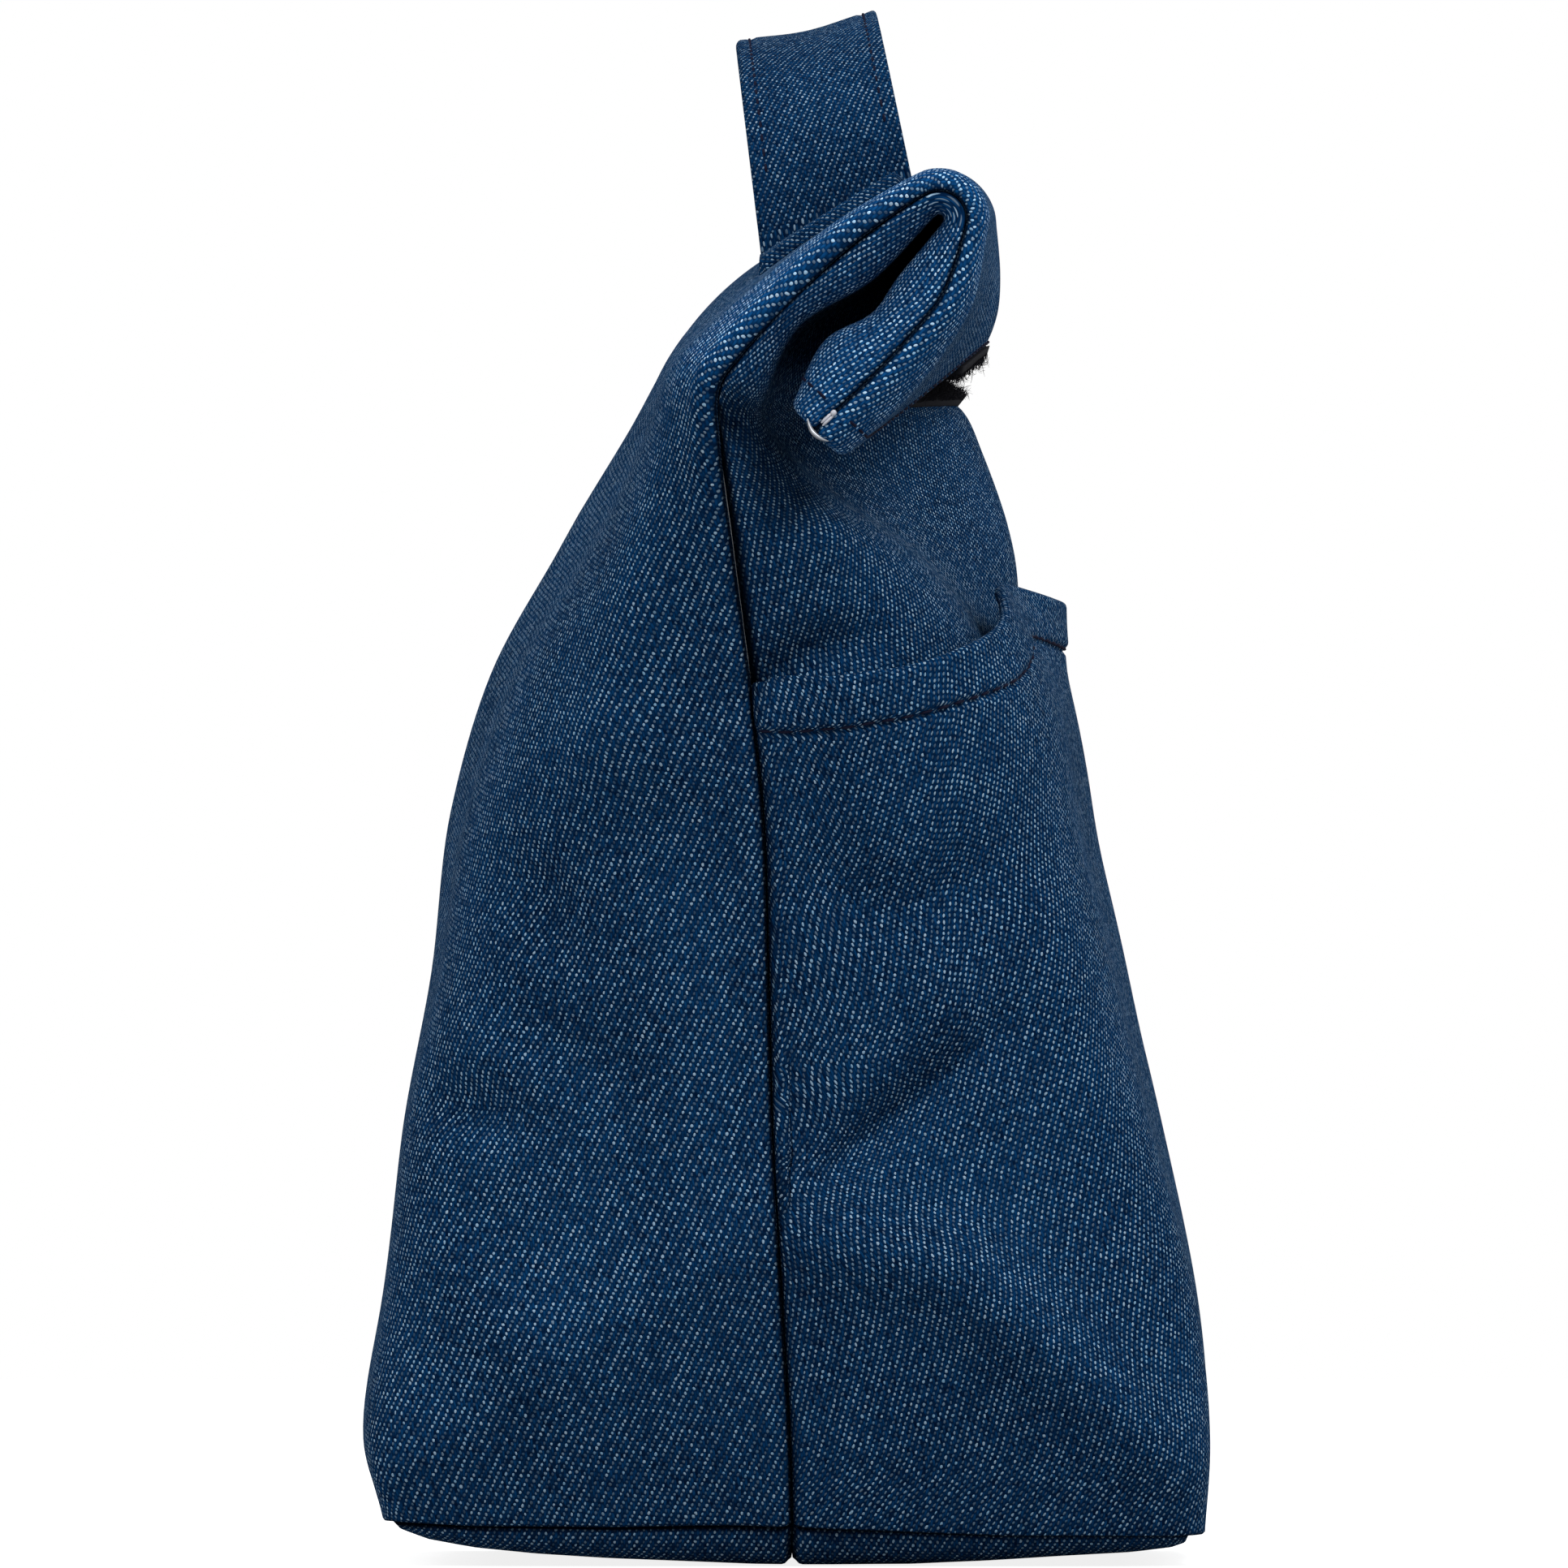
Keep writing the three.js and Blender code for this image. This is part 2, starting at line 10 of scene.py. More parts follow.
# %% Load the packed frame
import math
import bpy
import numpy as np
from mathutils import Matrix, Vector


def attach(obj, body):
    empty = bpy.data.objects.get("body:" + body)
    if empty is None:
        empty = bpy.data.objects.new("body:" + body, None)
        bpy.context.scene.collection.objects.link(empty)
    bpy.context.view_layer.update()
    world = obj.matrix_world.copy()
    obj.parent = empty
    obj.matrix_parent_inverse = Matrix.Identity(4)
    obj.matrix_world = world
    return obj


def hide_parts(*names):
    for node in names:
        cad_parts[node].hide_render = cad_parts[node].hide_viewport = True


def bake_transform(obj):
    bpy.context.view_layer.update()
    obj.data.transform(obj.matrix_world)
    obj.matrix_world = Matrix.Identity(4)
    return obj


METRE = .001
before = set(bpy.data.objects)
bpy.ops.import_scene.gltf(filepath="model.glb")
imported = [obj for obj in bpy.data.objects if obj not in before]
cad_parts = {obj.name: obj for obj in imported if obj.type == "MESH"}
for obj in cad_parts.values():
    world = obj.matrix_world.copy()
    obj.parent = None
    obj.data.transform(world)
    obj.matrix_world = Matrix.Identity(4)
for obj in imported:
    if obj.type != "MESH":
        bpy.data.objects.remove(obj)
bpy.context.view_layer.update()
rng = np.random.default_rng(7)

# %% [markdown]
# ## The side profile
#
# Seen from the side, the real bag is a leaning wedge whose top goes over and hangs down again. In this
# view u runs towards the front and z upwards. One station stands for one level of the bag. It lists the
# seam, the direction in which the back stands off from the seam, how far back and front stand off as
# shares of half the depth, the outlines at mid-width, the share of the widening, and the length and
# squareness of the side corner. A sculpted mesh would look as soft, but stations can be moved one at a
# time until they fit the photograph.

# %% Stations of the body and the flap
BASE_WIDTH, TOP_WIDTH, HALF_DEPTH = 210.0, 296.0, 74.0
WALL, SEAM_GAP, NECK_HALF = 3.8, 0.3, 4.05
CENTRE_U = .5
BODY = [
    ((1.4, 6.5), 180, .915, .905, (-71.7, 6.5), (73, 6.5), 0, 22, 5),
    ((1, 22), 180, .955, .918, (-74.6, 21), (73.2, 22), .03, 26, 4.6),
    ((-.4, 47), 180, .89, .9, (-71.3, 47), (71.4, 47), .07, 32, 4),
    ((-2, 75), 180, .815, .84, (-67.7, 75.4), (65.6, 75), .12, 40, 3.5),
    ((-2.8, 104), 180, .72, .75, (-61.9, 104), (58.4, 105), .19, 48, 3.1),
    ((-3.7, 132), 180, .65, .63, (-59.4, 132.6), (48.6, 132), .28, 56, 2.8),
    ((-6, 155), 178, .5, .57, (-52.3, 156.9), (42, 156), .39, 60, 2.5),
    ((-9, 178), 176, .27, .42, (-39.4, 179), (40.5, 178), .55, 52, 2.2),
    ((-11.4, 196), 165, .12, .17, (-28, 198.8), (35.3, 196), .7, 34, 2),
    ((-11.6, 206.5), 150, .07, .07, (-19.5, 214.6), (31.6, 204), .77, 22, 2),
    ((-8, 212), 138, .05, .045, (-12.3, 223.6), (24.5, 208.5), .82, 16, 2),
    ((0, 220.5), 131, .035, -.002, (-3.7, 230.6), (24.2, 219.5), .89, 12, 2),
    ((11.5, 231.5), 127, .015, .04, (8, 236.6), (25.5, 229.5), .95, 9.5, 2),
]
FLAP = [
    ((27.9, 223.4), -20, .02, .06, (38.5, 228), (26.3, 229), 1, 11, 2),
    ((21.6, 215.3), -39, .035, .05, (38.2, 222), (26, 223.4), 1, 12, 2),
    ((15, 208.3), -42, .045, .087, (37.1, 218), (26, 218.4), 1, 12, 2),
    ((6.5, 200.3), -43, .045, .035, (35.8, 215.2), (27.8, 214.6), 1, 10, 2),
]


def smoothstep(x, low, high):
    t = np.clip((x - low) / (high - low), 0, 1)
    return t * t * (3 - 2 * t)


def polar(centre, radius, angle):
    a = math.radians(angle)
    return np.array([centre[0] + radius * math.cos(a), centre[1] + radius * math.sin(a)])


def placed(row):
    """One listed station, with its stand-offs worked out as points of the side view."""
    seam, turn, back, front, mid_back, mid_front, flare, corner, square = row
    seam = np.array(seam, float) - (CENTRE_U, 0)
    return {
        "seam": seam,
        "back": polar(seam, NECK_HALF + back * HALF_DEPTH, turn),
        "front": polar(seam, NECK_HALF + front * HALF_DEPTH, turn + 180),
        "mid_back": np.array(mid_back, float) - (CENTRE_U, 0),
        "mid_front": np.array(mid_front, float) - (CENTRE_U, 0),
        "width": (BASE_WIDTH + (TOP_WIDTH - BASE_WIDTH) * flare) / 2,
        "corner": corner,
        "square": square,
    }


print("stations of body and flap:", len(BODY), len(FLAP))

# %% [markdown]
# ## The crown of the fold
#
# At the crown the closed top bends over. The outer cloth goes round a wide arc, and the inner cloth is
# folded almost to a point. Both are arcs about one centre, so the plies nest as they do in a real fold.

# %% Stations round the crown
CROWN = np.array([26.7, 236.5])
FOLD_STEPS = 6
FOLD_FROM, FOLD_TURN = 124, 144
MID_FROM, MID_TURN = 116, 120
FOLD_RADII = {"seam": 4.85, "back": 8.9, "front": .8}
MID_BACK_RADIUS, MID_BACK_GROWTH, MID_FRONT_RADIUS = 9.9, .8, .15
FOLD_CORNER, FOLD_SQUARE = 9, 2


def on_fold(share):
    """The station at a share of the way round the crown."""
    angle, mid = FOLD_FROM - FOLD_TURN * share, MID_FROM - MID_TURN * share
    station = {name: polar(CROWN, radius, angle) for name, radius in FOLD_RADII.items()}
    station["mid_back"] = polar(CROWN, MID_BACK_RADIUS + MID_BACK_GROWTH * share, mid)
    station["mid_front"] = polar(CROWN, MID_FRONT_RADIUS, mid)
    station.update(width=TOP_WIDTH / 2, corner=FOLD_CORNER, square=FOLD_SQUARE)
    return station


stations = [placed(r) for r in BODY]
stations += [on_fold(i / FOLD_STEPS) for i in range(FOLD_STEPS + 1)]
stations += [placed(r) for r in FLAP]
FOLD_START = len(BODY)
FOLD_END = FOLD_START + FOLD_STEPS
MOUTH = FOLD_END + len(FLAP)
PARTS = {"body": (0, FOLD_START), "fold": (FOLD_START, FOLD_END), "flap": (FOLD_END, MOUTH)}
print("stations:", len(stations))

# %% [markdown]
# ## Rails
#
# Cloth bends smoothly from one level to the next. A Blender curve could draw that, but the script needs
# points at any height, so it runs a centripetal curve through the same point of every station, which
# doesn't overshoot at the tight crown. A row is a place along this path, from the corner seam (0) over
# the crown to the mouth.

# %% Smooth rails through the stations


def curve_through(points, centripetal=True):
    p = np.array(points, float)
    p = p.reshape(len(p), -1)
    full = np.vstack([2 * p[0] - p[1], p, 2 * p[-1] - p[-2]])

    def at(rows):
        rows = np.clip(np.asarray(rows, float), 0, len(p) - 1)
        i = np.minimum(rows.astype(int), len(p) - 2)
        f = (rows - i)[..., None]
        a, b, c, d = full[i], full[i + 1], full[i + 2], full[i + 3]
        if centripetal:
            gap = [np.maximum(np.linalg.norm(y - x, axis=-1), 1e-6)[..., None] ** .5
                   for x, y in ((a, b), (b, c), (c, d))]
        else:
            gap = [np.ones_like(f)] * 3
        m1 = ((b - a) / gap[0] - (c - a) / (gap[0] + gap[1]) + (c - b) / gap[1]) * gap[1]
        m2 = ((c - b) / gap[1] - (d - b) / (gap[1] + gap[2]) + (d - c) / gap[2]) * gap[1]
        return b + m1 * f + (3 * (c - b) - 2 * m1 - m2) * f ** 2 + (2 * (b - c) + m1 + m2) * f ** 3
    return at


RAILS = ("seam", "back", "front", "mid_back", "mid_front")
rails = {name: curve_through([s[name] for s in stations]) for name in RAILS}
values = {name: curve_through([s[name] for s in stations], False) for name in ("width", "corner", "square")}


def inset(name, rows, depth):
    """A rail moved inwards by the depth of a ply."""
    along = rails[name](rows + .05) - rails[name](rows - .05)
    along /= np.linalg.norm(along, axis=-1, keepdims=True)
    side = 1 if name.endswith("back") else -1
    outward = np.stack([-along[..., 1], along[..., 0]], -1) * side
    return rails[name](rows) - outward * depth


print("rails:", sorted(rails))

# %% [markdown]
# ## Cross-sections
#
# Each row gives one cross-section of a half: a rounded corner from the side seam, the wide middle, and
# the other corner. The corner is a superellipse, boxy at the base and round at the neck. The line is
# walked finely and then resampled by its real length, so a column keeps its distance from the seam and
# the weave its scale.

# %% Cross-sections resampled by length
CORNER_POINTS, MIDDLE_POINTS = 260, 120
NEAR_SEAM = np.array([0, .2, .4, .65, .9, 1.2, 1.6, 2.1, 2.8, 3.7, 5, 6.5])


def section(half, row, depth):
    """Points across one half at one row, from the seam at low X to the seam at high X."""
    row = np.array([row], float)
    width, corner, square = (float(values[name](row)[0, 0]) for name in ("width", "corner", "square"))
    corner = min(corner, width - 1)
    edge, mid, seam = inset(half, row, depth)[0], inset("mid_" + half, row, depth)[0], rails["seam"](row)[0]
    seam = seam + (edge - seam) / np.linalg.norm(edge - seam) * SEAM_GAP / 2
    angle = np.linspace(0, 1, CORNER_POINTS) ** max(1.2, square / 2) * np.pi / 2
    x = width - corner + (corner - depth) * np.cos(angle) ** (2 / square)
    place = seam + (edge - seam) * (np.sin(angle) ** (2 / square))[:, None]
    share = np.linspace(-1, 1, MIDDLE_POINTS)[1:-1]
    middle = edge + (mid - edge) * (np.cos(np.pi / 2 * share) ** 2)[:, None]
    u = np.concatenate([place[:, 0], middle[:, 0], place[::-1, 0]])
    z = np.concatenate([place[:, 1], middle[:, 1], place[::-1, 1]])
    xs = np.concatenate([-x, share * (width - corner), x[::-1]])
    return np.stack([xs, -u, z], -1)


def lengths_along(points, axis=0):
    """The length walked from the first point, along one axis of a line or grid of points."""
    steps = np.linalg.norm(np.diff(points, axis=axis), axis=-1)
    run = np.cumsum(steps, axis)
    return np.concatenate([np.zeros_like(np.take(run, [0], axis)), run], axis)


def at_lengths(at, points):
    """Points of a line at given lengths along it."""
    run = lengths_along(points)
    return np.stack([np.interp(at, run, points[:, k]) for k in range(3)], -1)


def resampled(points, columns):
    total = lengths_along(points)[-1]
    near = NEAR_SEAM[NEAR_SEAM < total / 3]
    inner_places = np.linspace(near[-1], total - near[-1], columns - 2 * len(near) + 2)[1:-1]
    at = np.concatenate([near, inner_places, total - near[::-1]])
    return at_lengths(at, points), at


def normals_of(grid, towards=None):
    """Directions out of a grid of points, turned so that most of them look along the given ones."""
    n = np.cross(np.gradient(grid, axis=1), np.gradient(grid, axis=0))
    n /= np.maximum(np.linalg.norm(n, axis=-1, keepdims=True), 1e-9)
    if towards is not None and (n * towards).sum() < 0:
        n = -n
    return n


print("length across the back at the base:", round(float(lengths_along(section("back", 0, 0))[-1])), "mm")

# %% [markdown]
# ## Folds and dents
#
# The padded cloth is never flat. A cloth simulation could crease it, but not where the photograph shows
# its creases. So each soft fold is a stroke drawn on the side view: a line, its width and its height.
# Strokes push the surface out or pull it in where it faces the sides. A slow waviness covers the rest.

# %% Strokes of relief on the side view
STROKES = [
    (((4, 64), (17, 77), (36, 93)), 4.6, -3.0),
    (((8, 57), (30, 52), (60, 22)), 6.5, 2.2),
    (((8, 120), (22, 114), (38, 124)), 8, -2.0),
    (((-54, 124), (-44, 118), (-36, 106)), 6.5, -1.9),
    (((-48, 98), (-40, 92), (-30, 84)), 6, -1.6),
    (((-74, 90), (-60, 82), (-46, 78)), 5, -2.4),
    (((-40, 142), (-26, 146), (-12, 138)), 9, 1.8),
    (((-6, 153), (4, 160), (16, 163)), 4, -2.4),
    (((2, 176), (12, 184), (22, 180)), 6, 1.6),
    (((6, 146), (9, 128), (11, 110)), 4.5, -.6),
    (((-30, 200), (-26, 176), (-30, 146)), 8, 1.9),
    (((42, 122), (50, 98), (56, 72)), 7, 1.6),
    (((22, 112), (30, 96), (36, 84)), 6, 1.2),
    (((-20, 110), (-18, 84), (-22, 62)), 7, 1.3),
    (((-62, 60), (-52, 44), (-40, 34)), 7, 1.4),
]
STROKE_GAIN = 2.0


def side_view(points):
    return CENTRE_U - points[..., 1], points[..., 2]


def nearest_on(line, u, z):
    """How far each place lies from a line of points, and at which share of the line it is nearest."""
    line = np.array(line, float)
    best, share = np.full_like(u, 1e9), np.zeros_like(u)
    for k, (a, b) in enumerate(zip(line[:-1], line[1:])):
        d = b - a
        t = np.clip(((u - a[0]) * d[0] + (z - a[1]) * d[1]) / (d @ d), 0, 1)
        distance = np.hypot(u - a[0] - d[0] * t, z - a[1] - d[1] * t)
        share = np.where(distance < best, (k + t) / (len(line) - 1), share)
        best = np.minimum(best, distance)
    return best, share


def stroke_height(u, z):
    out = np.zeros_like(u)
    for line, width, height in STROKES:
        distance, share = nearest_on(line, u, z)
        fade = np.sin(np.pi * np.clip(.12 + .76 * share, 0, 1))
        out += height * np.exp(-(distance / width) ** 2) * fade
    return out


print("strokes:", len(STROKES))

# %% [markdown]
# ## The boxed corner and the tuck below the fold
#
# At the side the base is boxed: a crease runs from the seam to both corners of the base, with a flatter
# triangle below it. Higher up, the front half is drawn in beside the seam, under the hanging flap. Both
# are formulas and not strokes, because they follow the whole width of the side.

# %% Gusset and tuck
GUSSET = ((-72, 12), (-50, 27), (-28, 43), (-10, 53), (.5, 57), (12, 56), (34, 48), (50, 34), (66, 16))
GUSSET_HEIGHT, GUSSET_REACH = 9.5, 68
GUSSET_FADE_FRONT, GUSSET_FADE_BACK = 13, 19
TUCK_LINE, TUCK_DEPTH, TUCK_WIDTH, TUCK_TOP = ((-9.5, 203), (-4, 198), (1, 189)), 13, 4.6, 207


def gusset_fold(u, z):
    line = np.interp(u, [g[0] for g in GUSSET], [g[1] for g in GUSSET])
    height = GUSSET_HEIGHT * np.clip(1.15 - np.abs(u) / GUSSET_REACH, 0, 1) ** .6
    above = np.exp(-((z - line) / np.where(u > 0, GUSSET_FADE_FRONT, GUSSET_FADE_BACK)) ** 2)
    below = np.clip((z - 6) / np.maximum(line - 6, 4), 0, 1)
    return height * np.where(z > line, above, below)


def tuck(u, z):
    """How far the cloth beside the seam is drawn in under the fold."""
    distance, _ = nearest_on(TUCK_LINE, u, z)
    return TUCK_DEPTH * np.exp(-(distance / TUCK_WIDTH) ** 2) * np.clip((TUCK_TOP - z) / 5, 0, 1)


print("gusset crease at the seam:", max(z for _, z in GUSSET), "mm up")

# %% [markdown]
# ## Slow unevenness
#
# Hand-stuffed padding is uneven over the size of a palm. A noise texture could displace it, but a sum
# of a few long sine waves has no small detail that would fight with the weave. The closed top also
# sinks a little beside its middle, and the lower edge isn't quite level.

# %% Waviness, dent and lower edge
WAVES = [(rng.uniform(.03, .13), rng.uniform(0, 2 * np.pi), rng.uniform(0, 2 * np.pi)) for _ in range(14)]
WAVE_HEIGHT = .6
DENT_X, DENT_WIDTH, DENT_DEPTH = 24, 15, 2.6
EDGE_U, EDGE_LIFT = [-74, -55, -30, -12, 0, 15, 40, 74], [1.9, .8, .6, 1, .9, .4, -.7, -.7]


def waviness(p):
    out = np.zeros(p.shape[:-1])
    for frequency, heading, phase in WAVES:
        across = p[..., 0] * .5 + p[..., 1]
        out += np.sin(frequency * (across * math.cos(heading) + p[..., 2] * math.sin(heading)) + phase)
    return out / len(WAVES) ** .5


def middle_dent(points):
    """The closed top sinks a little beside its middle. The shift is towards the back and down."""
    x, z = points[..., 0], points[..., 2]
    depth = DENT_DEPTH * np.exp(-((x - DENT_X) / DENT_WIDTH) ** 2) * np.clip((z - 196) / 22, 0, 1) ** 2
    return depth[..., None] * np.array([0, .7, -.7])


def edge_wave(points):
    """The lower edge of the body is higher at the back than at the front."""
    u, z = side_view(points)
    share = np.clip(z / 6.5, 0, 1) * np.clip((22 - z) / 15.5, 0, 1)
    return points + (np.interp(u, EDGE_U, EDGE_LIFT) * share)[..., None] * np.array([0, 0, 1.0])


def relief(points, normals):
    """How far the cloth stands out of the smooth tube."""
    facing_side = np.clip(np.abs(normals[..., 0]) * 1.5 - .25, 0, 1)
    u, z = side_view(points)
    below_neck = np.clip((210 - z) / 25, 0, 1)
    creases = STROKE_GAIN * stroke_height(u, z) + gusset_fold(u, z)
    return creases * facing_side + WAVE_HEIGHT * waviness(points) * below_neck


print("waves:", len(WAVES))

# %% [markdown]
# ## Master surfaces
#
# On the real bag every ply of a half lies on the next one. So each half of the tube is worked out once
# as a grid of points, with outward directions and with the lengths from the seam and from the base. The
# pieces are cut out of these grids. Separate models of each ply could not lie on each other as closely.
# Along the seam both halves dip, and the back laps a little over the front, as a turned seam does.

# %% Master grids of the two halves
COLUMNS = 190
ROW_STEPS = [10] * FOLD_START + [9] * FOLD_STEPS + [9] * len(FLAP)
ROWS = np.concatenate([np.linspace(k, k + 1, n, endpoint=False) for k, n in enumerate(ROW_STEPS)] + [[MOUTH]])
ROW_START = np.concatenate([[0], np.cumsum(ROW_STEPS)])
TUCK_EASE = 1.6
SEAM_DIP, DIP_WIDTH = 2.4, .8
SEAM_LAP, LAP_AT, LAP_WIDTH = {"back": 1.7, "front": -1.2}, 2.4, 3.2


def seam_gap(across):
    """The distance of each place from the nearer side seam, along the cloth."""
    return np.minimum(across, across[..., -1:] - across)


def master(half, depth, with_seam=True):
    grids, run = zip(*[resampled(section(half, r, depth), COLUMNS) for r in ROWS])
    points, across = np.array(grids), np.array(run)
    outward = np.array([0, 1 if half == "back" else -1, 0]) * (ROWS < 6)[:, None, None]
    normals = normals_of(points, outward)
    points = points + normals * relief(points, normals)[..., None]
    points = edge_wave(points + middle_dent(points))
    gap = seam_gap(across)
    if half == "front":
        drawn_in = tuck(*side_view(points)) * (1 - np.exp(-((gap + depth) / TUCK_EASE) ** 2))
        points[..., 0] -= np.sign(points[..., 0]) * drawn_in
    if with_seam:
        lap = SEAM_LAP[half] * np.exp(-((gap - LAP_AT) / LAP_WIDTH) ** 2)
        dip = SEAM_DIP * np.exp(-(gap / DIP_WIDTH) ** 2) - lap
        body_share = np.clip((FOLD_START + 1 - ROWS) / 2, .45, 1)[:, None]
        points = points - normals * (dip * body_share)[..., None]
    step = np.linalg.norm(np.diff(points, axis=0), axis=2)[:, 8:50].mean(axis=1, keepdims=True)
    along = np.concatenate([[[0.0]], np.cumsum(step, 0)]) * np.ones((1, COLUMNS))
    return {"p": points, "n": normals_of(points, normals), "s": across, "t": along}


HALVES = ("back", "front")
outer = {half: master(half, 0) for half in HALVES}
inner = {half: master(half, WALL, False) for half in HALVES}
for half, grid in outer.items():
    print(half, "rows and columns:", grid["p"].shape[:2], "length of cloth:", round(float(grid["t"][-1, 95])))

# %% [markdown]
# ## Places on the cloth
#
# The twill's diagonal has to meet the seam at the photograph's angle. Unwrapping in Blender would give
# a UV map too, but not one that counts threads. Here a place on the cloth, so many millimetres from the
# seam and from the base, is turned into numbers of warp and weft threads.

# %% Thread counts and places between rows
THREAD_STEPS = {"back": ((-.43, -.045), (.05, .8)), "front": ((.41, .13), (-.16, .78))}


def threads(half, s, t):
    """Warp and weft counts of places on the cloth. The cloth lies a few degrees off the seam."""
    weft, warp = THREAD_STEPS[half]
    m = np.linalg.inv(np.array([[weft[0], warp[0]], [weft[1], warp[1]]]))
    return np.stack([m[0, 0] * s + m[0, 1] * t, m[1, 0] * s + m[1, 1] * t], -1)


def between_rows(grid, at):
    """Points of a master grid at fractional row places, one list of places for each column."""
    at = np.clip(at, 0, len(grid) - 1.0001)
    i = at.astype(int)
    f = (at - i)[..., None]
    column = np.arange(grid.shape[1])[None, :]
    a, b, c, d = (grid[np.clip(i + k, 0, len(grid) - 1), column] for k in (-1, 0, 1, 2))
    square, cube = 2 * a - 5 * b + 4 * c - d, 3 * b - a - 3 * c + d
    return .5 * (2 * b + (c - a) * f + square * f ** 2 + cube * f ** 3)


print("threads in 10 mm across the front:", np.abs(threads("front", 10, 0)).round(1))

# %% [markdown]
# ## Making meshes
#
# A piece is one grid of points or several. Mesh data filled from lists is quicker and surer than
# modelling operators. The helper scales the points, stores the thread counts as UVs, sets smooth
# normals and lets the piece ride on its body. A soft piece that crosses a joint is given two bodies,
# but it is hung on neither and stays where it is made.

# %% Mesh helpers


def grid_faces(rows, columns, wrap=False):
    r, c = np.meshgrid(np.arange(rows - 1), np.arange(columns if wrap else columns - 1), indexing="ij")
    following = (c + 1) % columns
    corners = (r * columns + c, r * columns + following, (r + 1) * columns + following, (r + 1) * columns + c)
    return np.stack(corners, -1).reshape(-1, 4)


def place_piece(name, mesh, material, body):
    """Makes the object of a mesh and hangs it on one body. A piece given two bodies is hung on neither and
    stays in place.
    """
    mesh.materials.append(material)
    piece = bpy.data.objects.new(name, mesh)
    bpy.context.scene.collection.objects.link(piece)
    if isinstance(body, str):
        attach(piece, body)
    else:
        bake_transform(piece)
    return piece


def mesh_piece(name, points, faces, material, body, uv=None, normals=None, slot=None, stands_for=(), **masks):
    mesh = bpy.data.meshes.new(name)
    mesh.from_pydata((np.asarray(points).reshape(-1, 3) * METRE).tolist(), [], np.asarray(faces).tolist())
    if uv is not None:
        index = np.empty(len(mesh.loops), np.int64)
        mesh.loops.foreach_get("vertex_index", index)
        layer = mesh.uv_layers.new(name="threads")
        layer.data.foreach_set("uv", np.asarray(uv).reshape(-1, 2)[index].ravel())
    for label, amounts in masks.items():
        mask = mesh.attributes.new(label, "FLOAT", "POINT")
        mask.data.foreach_set("value", np.asarray(amounts, float).ravel())
    mesh.shade_smooth()
    if normals is not None:
        mesh.normals_split_custom_set_from_vertices(np.asarray(normals).reshape(-1, 3).tolist())
    piece = place_piece(name, mesh, material, body)
    if stands_for:
        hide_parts(*stands_for)
    return piece


def grid_piece(name, points, material, body, normals=None, wrap=False, **more):
    """A piece made of one grid. Its faces are turned to look along the given normals."""
    faces = grid_faces(points.shape[0], points.shape[1], wrap=wrap)
    if normals is not None:
        p = points.reshape(-1, 3)
        facing = np.cross(p[faces[:, 2]] - p[faces[:, 0]], p[faces[:, 3]] - p[faces[:, 1]])
        if (facing * normals.reshape(-1, 3)[faces[:, 0]]).sum() < 0:
            faces = faces[:, ::-1]
    return mesh_piece(name, points, faces, material, body, normals=normals, **more)


print("faces of a 3 by 3 grid:", len(grid_faces(3, 3)))

# %% [markdown]
# ## Writing shader nodes in short
#
# A material is a tree of nodes. Written out, each node takes several lines to make and link. These
# helpers make a node, set it and link its inputs in one line, and make a node group that several
# materials can use.

# %% Shader helpers


class Nodes:
    """Short names for adding nodes to one tree."""

    def __init__(self, tree):
        self.tree = tree

    def add(self, kind, settings=(), **inputs):
        node = self.tree.nodes.new(kind)
        for key, value in dict(settings).items():
            setattr(node, key, value)
        for key, value in inputs.items():
            socket = node.inputs[int(key[1:])] if key[0] == "i" and key[1:].isdigit() else node.inputs[key]
            self.put(value, socket)
        return node

    def put(self, value, socket):
        if isinstance(value, bpy.types.NodeSocket):
            self.tree.links.new(value, socket)
        else:
            socket.default_value = value

    def maths(self, operation, a, b=0.0, c=0.0, clamp=False):
        node = self.tree.nodes.new("ShaderNodeMath")
        node.operation, node.use_clamp = operation, clamp
        for value, socket in zip((a, b, c), node.inputs):
            self.put(value, socket)
        return node.outputs[0]

    def mix(self, factor, a, b):
        node = self.tree.nodes.new("ShaderNodeMix")
        node.data_type = "RGBA"
        for value, place in ((factor, 0), (a, 6), (b, 7)):
            self.put(value, node.inputs[place])
        return node.outputs[2]

    def noise(self, vector, scale, detail):
        flat = [("noise_dimensions", "2D")]
        return self.add("ShaderNodeTexNoise", flat, Vector=vector, Scale=scale, Detail=detail)

    def square(self, value, times):
        return self.maths("MULTIPLY", self.maths("MULTIPLY", value, value), times)


def new_group(name, inputs, outputs):
    tree = bpy.data.node_groups.new(name, "ShaderNodeTree")
    for label, kind in inputs:
        tree.interface.new_socket(label, in_out="INPUT", socket_type=kind)
    for label, kind in outputs:
        tree.interface.new_socket(label, in_out="OUTPUT", socket_type=kind)
    return tree, Nodes(tree), tree.nodes.new("NodeGroupInput"), tree.nodes.new("NodeGroupOutput")


print("shader helpers:", [name for name in vars(Nodes) if not name.startswith("_")])

# %% [markdown]
# ## Denim: which thread lies on top
#
# Denim is a 2/1 twill: each indigo warp thread passes over two pale weft threads and under one, one
# step further in each row. An image texture would blur close up. Nodes can work the weave out instead,
# because whole UV units are threads here: u counts warps and v counts wefts. Where the warp number less
# the weft number divides by three, the pale weft lies on top; elsewhere the indigo warp does.

